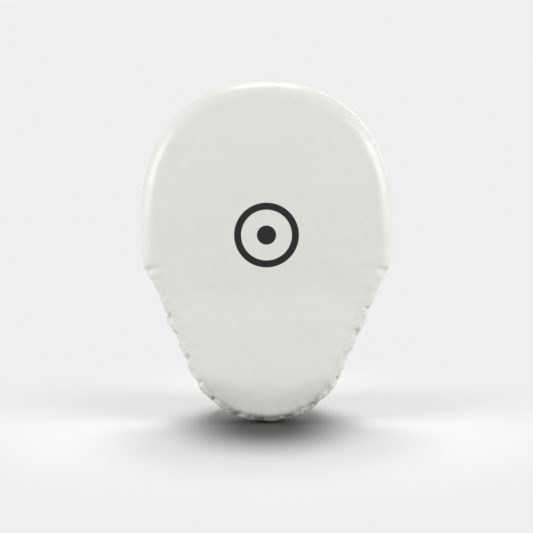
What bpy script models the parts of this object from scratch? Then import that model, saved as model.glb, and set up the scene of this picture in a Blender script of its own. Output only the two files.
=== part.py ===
"""A curved focus mitt for the left hand, in metres, +Z up along the mitt, striking face towards -Y.

The pad is laid out flat first: x across, s along its length and y through its depth, with y = 0 on the
back panel, where the palm lies. fold() then tapers its heel and bends it forward below the palm. The
hand goes in from behind and below: fingers under the hood, thumb in its stall, wrist under the strap.
"""

import math

import bmesh
import bpy
from mathutils import Matrix, Vector
from mathutils.geometry import interpolate_bezier

# Pad
PAD_DEPTH = 0.045
HEEL_DEPTH = 0.034
SKIN = 0.0012
GAP = 0.0003
FINGER_ROLL = 0.012
HEEL_ROLL = 0.006
SEAM_LIP = 0.001
NOTCH = 0.0096
GATHER_FULL = -0.030
GATHER_BULGE = 0.005
GATHER_BACK = 0.002
HEEL_TUCK = 0.006
FOAM_SPLITS = (-0.0300, -0.0150)

# Right half of the outline, from the finger end's top to the heel's tip, in (x, s): start, two
# Bezier handles, end, and how many steps the stretch is drawn with.
OUTLINE = (
    ((0.000, 0.155), (0.063, 0.155), (0.099, 0.115), (0.099, 0.044), 13),
    ((0.099, 0.044), (0.099, 0.033), (0.0985, 0.020), (0.097, 0.0096), 4),
    ((0.097, 0.0096), (0.0777, -0.0309), (0.064, -0.0649), (0.050, -0.0987), 9),
    ((0.050, -0.0987), (0.0466, -0.1062), (0.026, -0.1193), (0.000, -0.1193), 8),
)

# Fold: the pad turns forward by FOLD_ANGLE between these two lengths.
FOLD_TOP = 0.018
FOLD_LOW = -0.036
FOLD_ANGLE = math.radians(12.0)
FOLD_RADIUS = (FOLD_TOP - FOLD_LOW) / FOLD_ANGLE
HEEL_END = -0.1193
FOLD_CUTS = 6
HEEL_CUTS = (-0.054, -0.072, -0.090, -0.108)

# Finger hood
HOOD_X = 0.012
HOOD_MOUTH = 0.005
HOOD_TOP = 0.128
HOOD_HALF_WIDTH = 0.052
HOOD_HEIGHT = 0.040
HOOD_DROP = 0.018
HOOD_SKIN = 0.0010
HOOD_FOAM = 0.0060
LINING = 0.0008
BINDING = 0.0022
DIVIDER_PITCH = 0.022
DIVIDER_THICK = 0.002
DIVIDER_START = 0.024
DIVIDER_END = 0.092
DIVIDER_CLEAR = 0.0012

# Thumb stall
THUMB_PLACE = (-0.048, 0.0, -0.016)
THUMB_LEAN = math.radians(32.0)
THUMB_LENGTH = 0.056
THUMB_HALF_WIDTH = 0.015
THUMB_HEIGHT = 0.024
THUMB_SKIN = 0.0016

# Palm cushion and grip ball
PALM_X = 0.009
PALM_LENGTHS = (-0.0425, 0.0015)
PALM_HALF_WIDTH = 0.040
PALM_THICK = 0.0035
BALL_PLACE = (0.008, -0.021)
BALL_RADIUS = 0.020
BALL_HEIGHT = 0.016
BALL_SKIN = 0.0010

# Wrist cuff and strap, in the heel's own frame: z = 0 where the fold ends
CUFF_ENDS = (-0.056, -0.010)
CUFF_HALF_WIDTH = 0.044
CUFF_HEIGHT = 0.056
CUFF_FOAM = 0.0050
CUFF_REACH = 58.0
WRIST_PAD_HALF_WIDTH = 0.032
WRIST_PAD_THICK = 0.003
STRAP_ENDS = (-0.052, -0.014)
STRAP_THICK = 0.0022
PATCH_THICK = 0.0012
ANCHOR_SPAN = (20.0, 37.4)
HINGE_TURN = 37.7
STRAP_SPAN = (38.0, 164.0)
TAB_SPAN = (164.4, 171.0)
LOOP_SPAN = (126.0, 168.0)
HOOK_SPAN = (130.0, 160.0)
PATCH_MARGIN = 0.004

# Every arch is a superellipse of this power, standing on the back panel.
ARCH_POWER = 2.4
CUFF_STEPS = 3

SMOOTH_ANGLE = math.radians(35.0)

WHITE = (0.80, 0.80, 0.76)
BLACK = (0.04, 0.04, 0.045)
GREY_FOAM = (0.22, 0.22, 0.24)
CREAM_FOAM = (0.62, 0.60, 0.52)
BLACK_FOAM = (0.12, 0.12, 0.13)


def material(name, color, roughness):
    """A Principled surface of one colour, with no metal in it."""
    made = bpy.data.materials.new(name)
    made.use_nodes = True
    shader = made.node_tree.nodes["Principled BSDF"]
    shader.inputs["Base Color"].default_value = (*color, 1.0)
    shader.inputs["Roughness"].default_value = roughness
    shader.inputs["Metallic"].default_value = 0.0
    made.diffuse_color = (*color, 1.0)
    return made


def finish(name, bm, color, roughness, parent=None):
    """Turns a closed bmesh into the named, smooth-shaded object with its own material."""
    bmesh.ops.recalc_face_normals(bm, faces=bm.faces)
    if bm.calc_volume(signed=True) < 0.0:
        bmesh.ops.reverse_faces(bm, faces=bm.faces)
    mesh = bpy.data.meshes.new(name)
    bm.to_mesh(mesh)
    bm.free()
    mesh.shade_smooth()
    mesh.set_sharp_from_angle(angle=SMOOTH_ANGLE)
    mesh.materials.append(material(name, color, roughness))
    made = bpy.data.objects.new(name, mesh)
    made.parent = parent
    bpy.context.collection.objects.link(made)
    return made


def empty(name, place, turn=(0.0, 0.0, 0.0), parent=None):
    """A frame for the pieces that are fastened to it."""
    made = bpy.data.objects.new(name, None)
    made.location = place
    made.rotation_euler = turn
    made.parent = parent
    bpy.context.collection.objects.link(made)
    return made


# The flat pattern and its fold


def ease(low, high, value):
    """0 at low, 1 at high, with level ends."""
    share = min(max((value - low) / (high - low), 0.0), 1.0)
    return share * share * (3.0 - 2.0 * share)


def gather(s):
    """0 on the finger half and 1 on the heel, where the side band is gathered into the seam."""
    return ease(NOTCH, GATHER_FULL, s)


def depth_share(s):
    """How deep the pad is at length s, as a share of its depth at the fingers."""
    run = min(max((FOLD_TOP - s) / (FOLD_TOP - HEEL_END), 0.0), 1.0)
    return 1.0 - (1.0 - HEEL_DEPTH / PAD_DEPTH) * run**1.5


def fold(point):
    """Moves a point of the flat pattern onto the curved mitt."""
    x, y, s = point
    if y < 0.0:
        y *= depth_share(s)
    if s >= FOLD_TOP:
        return Vector((x, y, s))
    angle = min((FOLD_TOP - s) / FOLD_RADIUS, FOLD_ANGLE)
    straight = max(FOLD_LOW - s, 0.0)
    radius = FOLD_RADIUS + y
    back = radius * math.cos(angle) - FOLD_RADIUS - straight * math.sin(angle)
    return Vector((x, back, FOLD_TOP - radius * math.sin(angle) - straight * math.cos(angle)))


def fold_mesh(bm):
    """Cuts a flat mesh across its length where the fold bends it, then folds it."""
    step = (FOLD_TOP - FOLD_LOW) / FOLD_CUTS
    for level in [FOLD_TOP - step * i for i in range(FOLD_CUTS + 1)] + list(HEEL_CUTS):
        everything = bm.verts[:] + bm.edges[:] + bm.faces[:]
        bmesh.ops.bisect_plane(bm, geom=everything, plane_co=(0, 0, level), plane_no=(0, 0, 1))
    for vert in bm.verts:
        vert.co = fold(vert.co)


def outline():
    """The closed outline as (x, s, outward x, outward s), from the top down the right side and back."""
    half = []
    for start, first, second, end, steps in OUTLINE:
        knots = [Vector((x, 0.0, s)) for x, s in (start, first, second, end)]
        half += [(p.x, p.z) for p in interpolate_bezier(*knots, steps + 1)[:-1]]
    half.append((0.0, HEEL_END))
    loop = half + [(-x, s) for x, s in reversed(half[1:-1])]
    points = []
    for i, (x, s) in enumerate(loop):
        before = loop[i - 1]
        after = loop[(i + 1) % len(loop)]
        along = Vector((after[0] - before[0], after[1] - before[1])).normalized()
        points.append((x, s, -along.y, along.x))
    return points


def ring(points, offset, depth):
    """The outline moved outwards by offset(s) at depth(s); the heel's tip tucks in towards the back."""
    moved = []
    for x, s, nx, ns in points:
        tuck = HEEL_TUCK * max(-ns, 0.0) ** 2 * (1.0 + depth(s) / PAD_DEPTH)
        out = offset(s) - tuck
        moved.append(Vector((x + nx * out, depth(s), s + ns * out)))
    return moved


def loft(rings, capped):
    """A closed body through rings of equal count: capped at both ends, or joined end to start."""
    bm = bmesh.new()
    rows = [[bm.verts.new(p) for p in row] for row in rings]
    pairs = list(zip(rows, rows[1:]))
    if not capped:
        pairs.append((rows[-1], rows[0]))
    for low, high in pairs:
        for i in range(len(low)):
            bm.faces.new((low[i - 1], low[i], high[i], high[i - 1]))
    if capped:
        bm.faces.new(rows[0])
        bm.faces.new(rows[-1])
    return bm


def trim(bm, level, keep_above):
    """Cuts a body across its length and closes the cut."""
    everything = bm.verts[:] + bm.edges[:] + bm.faces[:]
    bmesh.ops.bisect_plane(
        bm,
        geom=everything,
        plane_co=(0, 0, level),
        plane_no=(0, 0, 1),
        clear_inner=keep_above,
        clear_outer=not keep_above,
    )
    bmesh.ops.holes_fill(bm, edges=[e for e in bm.edges if e.is_boundary], sides=0)


# The pad: skins, foams and the gathered heel band


def roll(s):
    """Radius of the face's rolled edge: full round the fingers, tight along the heel's seam."""
    return FINGER_ROLL + (HEEL_ROLL - FINGER_ROLL) * gather(s)


def rolled_rings(points, inset, steps):
    """Rings round the front edge, from the face to the side, all inset below the skin's outside."""
    rings = []
    for i in range(steps + 1):
        turn = 0.5 * math.pi * i / steps
        rings.append(
            ring(
                points,
                lambda s, turn=turn: (roll(s) - inset) * math.sin(turn) - roll(s),
                lambda s, turn=turn: roll(s) - PAD_DEPTH - (roll(s) - inset) * math.cos(turn),
            )
        )
    return rings


def seam(s):
    """Depth of the seam between the face cover and the side pieces."""
    return roll(s) + SEAM_LIP - PAD_DEPTH


def make_pad(points):
    """Face cover over three foams, side gusset round the fingers, gathered band, back panel."""
    outside = rolled_rings(points, 0.0, 4) + [ring(points, lambda s: 0.0, seam)]
    inside = rolled_rings(points, SKIN, 4) + [ring(points, lambda s: -SKIN, seam)]
    bm = loft(outside + inside[::-1], capped=True)
    fold_mesh(bm)
    finish("face_cover", bm, WHITE, 0.42)

    foam_inset = SKIN + 2.0 * GAP

    def foam_ring(depth):
        return ring(points, lambda s: -foam_inset, lambda s: depth)

    front, back = FOAM_SPLITS
    foams = (
        ("impact_foam", rolled_rings(points, foam_inset, 3), front, GREY_FOAM),
        ("core_foam", [foam_ring(front + GAP)], back, CREAM_FOAM),
        ("backing_foam", [foam_ring(back + GAP)], -foam_inset, BLACK_FOAM),
    )
    for name, rings, end, color in foams:
        bm = loft(rings + [foam_ring(end)], capped=True)
        fold_mesh(bm)
        finish(name, bm, color, 0.9)

    def side(bulges):
        """Wall of the gusset or band: bulges are (share of depth, outward offset), front to back."""
        outer = [
            ring(
                points,
                lambda s, out=out: out * gather(s),
                lambda s, t=t: (seam(s) + GAP) * (1.0 - t) - (SKIN + GAP) * t,
            )
            for t, out in bulges
        ]
        inner = [
            ring(points, lambda s: -SKIN, lambda s: -(SKIN + GAP)),
            ring(points, lambda s: -SKIN, lambda s: seam(s) + GAP),
        ]
        return loft(outer + inner, capped=False)

    bm = side(((0.0, 0.0), (1.0, 0.0)))
    trim(bm, NOTCH + GAP, keep_above=True)
    fold_mesh(bm)
    finish("side_gusset", bm, WHITE, 0.42)

    full = GATHER_BULGE
    bm = side(((0.0, 0.0), (0.15, 0.8 * full), (0.4, full), (0.8, 0.8 * full), (1.0, GATHER_BACK)))
    trim(bm, NOTCH, keep_above=False)
    fold_mesh(bm)
    finish("gathered_band", bm, WHITE, 0.48)

    edge = [ring(points, lambda s: GATHER_BACK * gather(s), lambda s, d=d: d) for d in (-SKIN, 0.0)]
    bm = loft(edge, capped=True)
    fold_mesh(bm)
    finish("back_panel", bm, WHITE, 0.45)


# Arched shells: hood, thumb stall, cuff and strap


def arch_rows(stations, spans, steps):
    """Rows of points over arches: stations are (length, centre x, half width, height), spans are the
    first and last angle in degrees, from the right foot over the top to the left foot."""
    rows = []
    for length, centre, half_width, height in stations:
        row = []
        for i in range(steps + 1):
            turn = math.radians(spans[0] + (spans[1] - spans[0]) * i / steps)
            across = math.copysign(abs(math.cos(turn)) ** (2.0 / ARCH_POWER), math.cos(turn))
            rise = abs(math.sin(turn)) ** (2.0 / ARCH_POWER)
            row.append(Vector((centre + half_width * across, GAP + height * rise, length)))
        rows.append(row)
    return rows


def shell(outer_rows, inner_rows):
    """The closed wall between two grids of equal counts."""
    bm = bmesh.new()
    sheets = [[[bm.verts.new(p) for p in row] for row in rows] for rows in (outer_rows, inner_rows)]
    for sheet in sheets:
        for low, high in zip(sheet, sheet[1:]):
            for j in range(len(low) - 1):
                bm.faces.new((low[j], low[j + 1], high[j + 1], high[j]))
    rims = []
    for sheet in sheets:
        right = [row[0] for row in sheet[1:-1]]
        left = [row[-1] for row in sheet[-2:0:-1]]
        rims.append(right + sheet[-1] + left + sheet[0][::-1])
    for i in range(len(rims[0])):
        bm.faces.new((rims[0][i - 1], rims[0][i], rims[1][i], rims[1][i - 1]))
    return bm


def closed_arch(mouth, top, size, centre, depth, steps):
    """Stations from an open mouth to a closed end, for the surface at a depth below the outside."""
    stations = []
    for i in range(steps + 1):
        share = math.sin(0.5 * math.pi * i / steps)
        stations.append((mouth + (top - depth - mouth) * share, centre, *size(share, depth)))
    return stations


def hood_size(share, depth):
    """Half width and height of the finger hood at a share of its length from the mouth."""
    half_width = (HOOD_HALF_WIDTH - depth) * math.sqrt(1.0 - 0.88 * share**4)
    height = (HOOD_HEIGHT - depth - HOOD_DROP * share) * math.sqrt(1.0 - share**5)
    return half_width, height


def make_hood():
    """Padded hood over the fingers: cover, foam and lining, bound at the mouth, with three webs."""

    def surface(depth):
        stations = closed_arch(HOOD_MOUTH, HOOD_TOP, hood_size, HOOD_X, depth, 9)
        return arch_rows(stations, (0.0, 180.0), 16)

    foam_start = HOOD_SKIN + GAP
    lining_start = foam_start + HOOD_FOAM + GAP
    inside = lining_start + LINING
    layers = (
        ("hood_cover", 0.0, HOOD_SKIN, WHITE, 0.45),
        ("hood_foam", foam_start, foam_start + HOOD_FOAM, BLACK_FOAM, 0.9),
        ("hood_lining", lining_start, inside, BLACK, 0.85),
    )
    for name, outer, inner, color, roughness in layers:
        bm = shell(surface(outer), surface(inner))
        fold_mesh(bm)
        finish(name, bm, color, roughness)

    lip = HOOD_MOUTH - GAP
    edges = []
    for depth in (-SEAM_LIP, inside + GAP):
        size = (HOOD_HALF_WIDTH - depth, HOOD_HEIGHT - depth)
        edges.append(arch_rows([(z, HOOD_X, *size) for z in (lip - BINDING, lip)], (0.0, 180.0), 16))
    bm = shell(*edges)
    fold_mesh(bm)
    finish("hood_binding", bm, BLACK, 0.6)

    for number, place in enumerate((-1, 0, 1), start=1):
        bm = divider(place * DIVIDER_PITCH, inside)
        fold_mesh(bm)
        finish(f"finger_divider_{number}", bm, BLACK, 0.85)


def divider(across, inside):
    """A web between two fingers, from the back panel to just under the lining."""
    steps = 6
    profile = [(DIVIDER_END, GAP), (DIVIDER_START, GAP)]
    for i in range(steps + 1):
        length = DIVIDER_START + (DIVIDER_END - DIVIDER_START) * i / steps
        share = (length - HOOD_MOUTH) / (HOOD_TOP - inside - HOOD_MOUTH)
        half_width, height = hood_size(share, inside)
        reach = (abs(across) + DIVIDER_THICK) / half_width
        rise = (1.0 - reach**ARCH_POWER) ** (1.0 / ARCH_POWER)
        profile.append((length, height * rise - DIVIDER_CLEAR))
    half = 0.5 * DIVIDER_THICK
    sides = []
    for x in (HOOD_X + across - half, HOOD_X + across + half):
        sides.append([Vector((x, y, s)) for s, y in profile])
    return loft(sides, capped=True)


def thumb_size(share, depth):
    """Half width and height of the thumb stall at a share of its length from the mouth."""
    half_width = (THUMB_HALF_WIDTH - depth) * math.sqrt(1.0 - 0.75 * share**3)
    height = (THUMB_HEIGHT - depth) * (1.0 - 0.3 * share) * math.sqrt(1.0 - share**4)
    return half_width, height


def make_thumb_stall():
    """Half-round stall for the thumb beside the hood, its mouth towards the palm."""
    place = Matrix.Translation(THUMB_PLACE) @ Matrix.Rotation(-THUMB_LEAN, 4, "Y")

    def surface(depth):
        return arch_rows(closed_arch(0.0, THUMB_LENGTH, thumb_size, 0.0, depth, 7), (0.0, 180.0), 12)

    lining_start = THUMB_SKIN + GAP
    layers = (
        ("thumb_stall", 0.0, THUMB_SKIN, WHITE),
        ("thumb_lining", lining_start, lining_start + LINING, BLACK),
    )
    for name, outer, inner, color in layers:
        bm = shell(surface(outer), surface(inner))
        bmesh.ops.transform(bm, matrix=place, verts=bm.verts)
        fold_mesh(bm)
        finish(name, bm, color, 0.5)


def rounded_plate(centre, half_width, ends, thick, corner):
    """A flat cushion with round corners, its back on the pad's back panel."""
    low, high = ends
    corners = (
        (half_width - corner, high - corner, 0.0),
        (corner - half_width, high - corner, 90.0),
        (corner - half_width, low + corner, 180.0),
        (half_width - corner, low + corner, 270.0),
    )
    edge = []
    for x, s, start in corners:
        for i in range(5):
            turn = math.radians(start + 90.0 * i / 4)
            edge.append((centre + x + corner * math.cos(turn), s + corner * math.sin(turn)))
    return loft([[Vector((x, y, s)) for x, s in edge] for y in (GAP, GAP + thick)], capped=True)


def half_ball(radius, height):
    """Upper half of a ball, rising along +Y from its open rim."""
    bm = bmesh.new()
    bmesh.ops.create_uvsphere(bm, u_segments=20, v_segments=10, radius=1.0)
    bmesh.ops.rotate(bm, cent=(0, 0, 0), matrix=Matrix.Rotation(-0.5 * math.pi, 3, "X"), verts=bm.verts)
    everything = bm.verts[:] + bm.edges[:] + bm.faces[:]
    bmesh.ops.bisect_plane(
        bm, geom=everything, dist=1e-5, plane_co=(0, 0, 0), plane_no=(0, 1, 0), clear_inner=True
    )
    bmesh.ops.scale(bm, vec=(radius, height, radius), verts=bm.verts)
    return bm


def make_palm():
    """Thin palm cushion, and the ball the fingers close on: a foam dome under its cover."""
    bm = rounded_plate(PALM_X, PALM_HALF_WIDTH, PALM_LENGTHS, PALM_THICK, 0.010)
    fold_mesh(bm)
    finish("palm_pad", bm, BLACK, 0.85)

    x, s = BALL_PLACE
    seat = fold((x, PALM_THICK + 2.0 * GAP + 0.0002, s))
    lean = (FOLD_TOP - s) / FOLD_RADIUS
    ball_frame = empty("ball_frame", seat, turn=(-lean, 0.0, 0.0))
    foam_radius = BALL_RADIUS - BALL_SKIN - GAP
    foam_height = BALL_HEIGHT - BALL_SKIN - GAP
    bm = half_ball(foam_radius, foam_height)
    bmesh.ops.holes_fill(bm, edges=[e for e in bm.edges if e.is_boundary], sides=0)
    finish("palm_ball_foam", bm, GREY_FOAM, 0.9, parent=ball_frame)

    bm = half_ball(foam_radius + GAP, foam_height + GAP)
    cover = finish("palm_ball_cover", bm, BLACK, 0.55, parent=ball_frame)
    wall = cover.modifiers.new("wall", "SOLIDIFY")
    wall.thickness = BALL_SKIN
    wall.offset = 1.0


def cuff_rows(ends, spans, steps, depth):
    """The cuff's arch at a depth below its outside, between two lengths of the heel's frame."""
    low, high = ends
    size = (CUFF_HALF_WIDTH - depth, CUFF_HEIGHT - depth)
    lengths = [low + (high - low) * i / CUFF_STEPS for i in range(CUFF_STEPS + 1)]
    return arch_rows([(z, 0.0, *size) for z in lengths], spans, steps)


def make_cuff(wrist_frame):
    """Two padded wings that stand round the wrist, and the cushion between them."""
    foam_start = HOOD_SKIN + GAP
    lining_start = foam_start + CUFF_FOAM + GAP
    layers = (
        ("cover", 0.0, HOOD_SKIN, WHITE, 0.45),
        ("foam", foam_start, foam_start + CUFF_FOAM, BLACK_FOAM, 0.9),
        ("lining", lining_start, lining_start + LINING, BLACK, 0.85),
    )
    for side, spans in (("right", (0.0, CUFF_REACH)), ("left", (180.0 - CUFF_REACH, 180.0))):
        for part, outer, inner, color, roughness in layers:
            bm = shell(cuff_rows(CUFF_ENDS, spans, 7, outer), cuff_rows(CUFF_ENDS, spans, 7, inner))
            finish(f"{side}_cuff_{part}", bm, color, roughness, parent=wrist_frame)
    bm = rounded_plate(0.0, WRIST_PAD_HALF_WIDTH, CUFF_ENDS, WRIST_PAD_THICK, 0.008)
    finish("wrist_pad", bm, BLACK, 0.85, parent=wrist_frame)


def make_strap(wrist_frame):
    """Hook-and-loop strap over the wrist: its sewn root on the right wing, the strap that folds open on
    the root's outer edge, the hook patch under its end and the loop patch on the left wing."""
    loop_out = GAP + PATCH_THICK
    hook_out = loop_out + GAP + PATCH_THICK
    strap_in = hook_out + GAP
    strap_out = strap_in + STRAP_THICK
    low, high = STRAP_ENDS
    patch_ends = (low + PATCH_MARGIN, high - PATCH_MARGIN)

    hinge = cuff_rows(STRAP_ENDS, (HINGE_TURN, STRAP_SPAN[1]), 1, -strap_out)[0][0]
    hinge.z = 0.5 * (low + high)
    strap_hinge = empty("strap_hinge", hinge, parent=wrist_frame)

    fixed = (
        ("strap_anchor", STRAP_ENDS, ANCHOR_SPAN, 6, GAP, strap_out, WHITE, 0.5),
        ("loop_patch", patch_ends, LOOP_SPAN, 8, GAP, loop_out, BLACK, 0.95),
    )
    moving = (
        ("wrist_strap", STRAP_ENDS, STRAP_SPAN, 18, strap_in, strap_out, WHITE, 0.5),
        ("hook_patch", patch_ends, HOOK_SPAN, 6, loop_out + GAP, hook_out, BLACK, 0.7),
        ("strap_tab", patch_ends, TAB_SPAN, 2, strap_in, strap_out, BLACK, 0.5),
    )
    for pieces, parent, shift in ((fixed, wrist_frame, Vector()), (moving, strap_hinge, -hinge)):
        for name, ends, spans, steps, inner, outer, color, roughness in pieces:
            bm = shell(cuff_rows(ends, spans, steps, -outer), cuff_rows(ends, spans, steps, -inner))
            bmesh.ops.translate(bm, vec=shift, verts=bm.verts)
            finish(name, bm, color, roughness, parent=parent)


def main():
    """Clears the scene and builds the mitt."""
    for old in list(bpy.data.objects):
        bpy.data.objects.remove(old)
    make_pad(outline())
    make_hood()
    make_thumb_stall()
    make_palm()
    wrist_frame = empty("wrist_frame", fold((0.0, 0.0, FOLD_LOW)), turn=(-FOLD_ANGLE, 0.0, 0.0))
    make_cuff(wrist_frame)
    make_strap(wrist_frame)


main()
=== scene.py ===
import bmesh
import bpy
import numpy as np
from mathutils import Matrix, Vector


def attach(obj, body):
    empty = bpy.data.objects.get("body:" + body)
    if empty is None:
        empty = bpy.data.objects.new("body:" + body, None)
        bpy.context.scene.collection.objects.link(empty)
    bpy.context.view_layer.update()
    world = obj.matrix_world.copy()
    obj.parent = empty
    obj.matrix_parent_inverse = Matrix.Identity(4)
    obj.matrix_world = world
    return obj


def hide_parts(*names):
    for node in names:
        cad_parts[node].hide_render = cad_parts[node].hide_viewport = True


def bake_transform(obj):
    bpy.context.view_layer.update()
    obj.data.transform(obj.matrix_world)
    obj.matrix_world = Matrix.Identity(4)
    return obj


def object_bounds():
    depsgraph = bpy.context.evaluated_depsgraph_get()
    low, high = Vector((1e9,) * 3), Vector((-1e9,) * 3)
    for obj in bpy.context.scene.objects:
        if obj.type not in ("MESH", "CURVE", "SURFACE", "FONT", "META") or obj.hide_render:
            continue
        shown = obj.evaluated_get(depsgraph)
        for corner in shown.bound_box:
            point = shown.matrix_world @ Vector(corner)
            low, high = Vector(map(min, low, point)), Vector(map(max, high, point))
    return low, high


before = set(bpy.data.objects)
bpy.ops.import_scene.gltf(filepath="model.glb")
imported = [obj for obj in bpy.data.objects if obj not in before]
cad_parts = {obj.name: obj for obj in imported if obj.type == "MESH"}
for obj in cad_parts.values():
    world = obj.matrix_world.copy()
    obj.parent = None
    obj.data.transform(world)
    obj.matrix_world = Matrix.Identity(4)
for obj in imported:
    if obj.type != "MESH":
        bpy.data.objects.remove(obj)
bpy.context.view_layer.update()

MM = 0.001

# Foam core. The pad is three slabs of foam glued together: firm grey impact foam in front, cream
# core foam behind it and black backing foam under the palm. The front slab is cut round the rolled
# edge; the heel is bent forward below the palm. Its flat pattern is (x across, y deep, s along).
PAD_DEPTH, HEEL_DEPTH = 45 * MM, 34 * MM
SKIN = 1.2 * MM
FINGER_ROLL, HEEL_ROLL = 12 * MM, 4 * MM
NOTCH, GATHER_FULL = 9.6 * MM, -30 * MM
SOFT_CORNER = 9 * MM
HEEL_TUCK, HEEL_LEAN = 6 * MM, 2.6 * MM
FOLD_TOP, FOLD_LOW, HEEL_END = 18 * MM, -36 * MM, -119.3 * MM
FOLD_ANGLE = np.radians(12.0)
FOLD_RADIUS = (FOLD_TOP - FOLD_LOW) / FOLD_ANGLE
SPINE = (-84 * MM, 66 * MM)
TIP_DROP, TIP_RUN, TIP_SLOPES = 9.5 * MM, 33 * MM, (0.42, 0.95)
FACE_CROWN = 1.4 * MM
FOAM_INSET, FOAM_GAP = 2.2 * MM, 0.3 * MM
SLAB_INSET = 1.4 * FOAM_INSET
IMPACT_BACK, CORE_BACK = -30 * MM, -9.3 * MM

OUTLINE = np.array([
    [(0, 155), (63, 155), (99, 115), (99, 44)],
    [(99, 44), (99, 33), (98.5, 20), (97, 9.6)],
    [(97, 9.6), (79.5, -27), (65.5, -60), (54.5, -84)],
    [(54.5, -84), (47.4, -99.5), (28, -117.2), (0, -117.2)],
]) * MM


def ease(low, high, value):
    """0 at low and 1 at high, level at both ends."""
    share = np.clip((value - low) / (high - low), 0.0, 1.0)
    return share * share * (3.0 - 2.0 * share)


def gather(s):
    """0 on the finger half, 1 on the heel, where the side band is gathered."""
    return ease(NOTCH, GATHER_FULL, s)


def roll(s):
    """Radius of the face's rolled edge."""
    return FINGER_ROLL + (HEEL_ROLL - FINGER_ROLL) * gather(s)


def fold(x, y, s):
    """Flat pattern onto the mitt: the front tapers in depth towards the heel, then the length runs round
    an arc of FOLD_RADIUS from FOLD_TOP to FOLD_LOW and straight on below it."""
    x, y, s = np.broadcast_arrays(x, y, s)
    run = np.clip((FOLD_TOP - s) / (FOLD_TOP - HEEL_END), 0.0, 1.0)
    deep = np.where(y < 0.0, y * (1.0 - (1.0 - HEEL_DEPTH / PAD_DEPTH) * run**1.5), y)
    angle = np.clip((FOLD_TOP - s) / FOLD_RADIUS, 0.0, FOLD_ANGLE)
    straight = np.maximum(FOLD_LOW - s, 0.0)
    back = (FOLD_RADIUS + deep) * np.cos(angle) - FOLD_RADIUS - straight * np.sin(angle)
    down = FOLD_TOP - (FOLD_RADIUS + deep) * np.sin(angle) - straight * np.cos(angle)
    bent = s < FOLD_TOP
    return np.stack([x, np.where(bent, back, deep), np.where(bent, down, s)], -1)


def outline(count):
    """The edge as rows of x, s, outward x, outward s and length run: four cubic Bezier stretches down
    the right side, spaced evenly by arc length and mirrored up the left. The outward direction is
    averaged over SOFT_CORNER each way, so that rows set in from the notch do not cross."""
    t = np.linspace(0.0, 1.0, 80, endpoint=False)[:, None]
    half = [(1 - t) ** 3 * a + 3 * (1 - t) ** 2 * t * b + 3 * (1 - t) * t**2 * c + t**3 * d
            for a, b, c, d in OUTLINE]
    half = np.concatenate(half + [OUTLINE[-1, -1:]])
    run = np.concatenate([[0.0], np.cumsum(np.hypot(*np.diff(half, axis=0).T))])
    even = np.linspace(0.0, run[-1], count // 2 + 1)
    half = np.stack([np.interp(even, run, half[:, k]) for k in (0, 1)])
    loop = np.concatenate([half, half[:, -2:0:-1] * [[-1], [1]]], 1)
    along = np.roll(loop, -1, 1) - np.roll(loop, 1, 1)
    soft = int(SOFT_CORNER / even[1])
    along = sum(np.roll(along, shift, 1) for shift in range(-soft, soft + 1))
    along /= np.hypot(*along)
    return np.stack([*loop, -along[1], along[0], np.arange(count) * (even[1] - even[0])])


def ring(edge, offset, depth):
    """Flat-pattern points moved out from the edge by offset at depth; the tip tucks in towards the back,
    and all round the heel the sides lean in towards the front seam."""
    x, s, nx, ns = edge[:4]
    out = offset - HEEL_LEAN * gather(s) * ease(-14 * MM, -34 * MM, depth)
    out = out - HEEL_TUCK * np.maximum(-ns, 0.0) ** 2 * (1.0 + depth / PAD_DEPTH)
    return x + nx * out, depth, s + ns * out


def ripple(points, size, seed):
    """Slow unevenness from about -1 to 1: the sum of nine plane waves near size long, their directions,
    lengths and phases drawn once from the seed."""
    draw = np.random.default_rng(seed)
    way = draw.normal(size=(points.shape[-1], 9))
    way *= 2.0 * np.pi / size * draw.uniform(0.7, 1.5, 9) / np.linalg.norm(way, axis=0)
    return np.sin(points @ way + draw.uniform(0.0, 6.3, 9)).sum(-1) / 3.6


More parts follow.
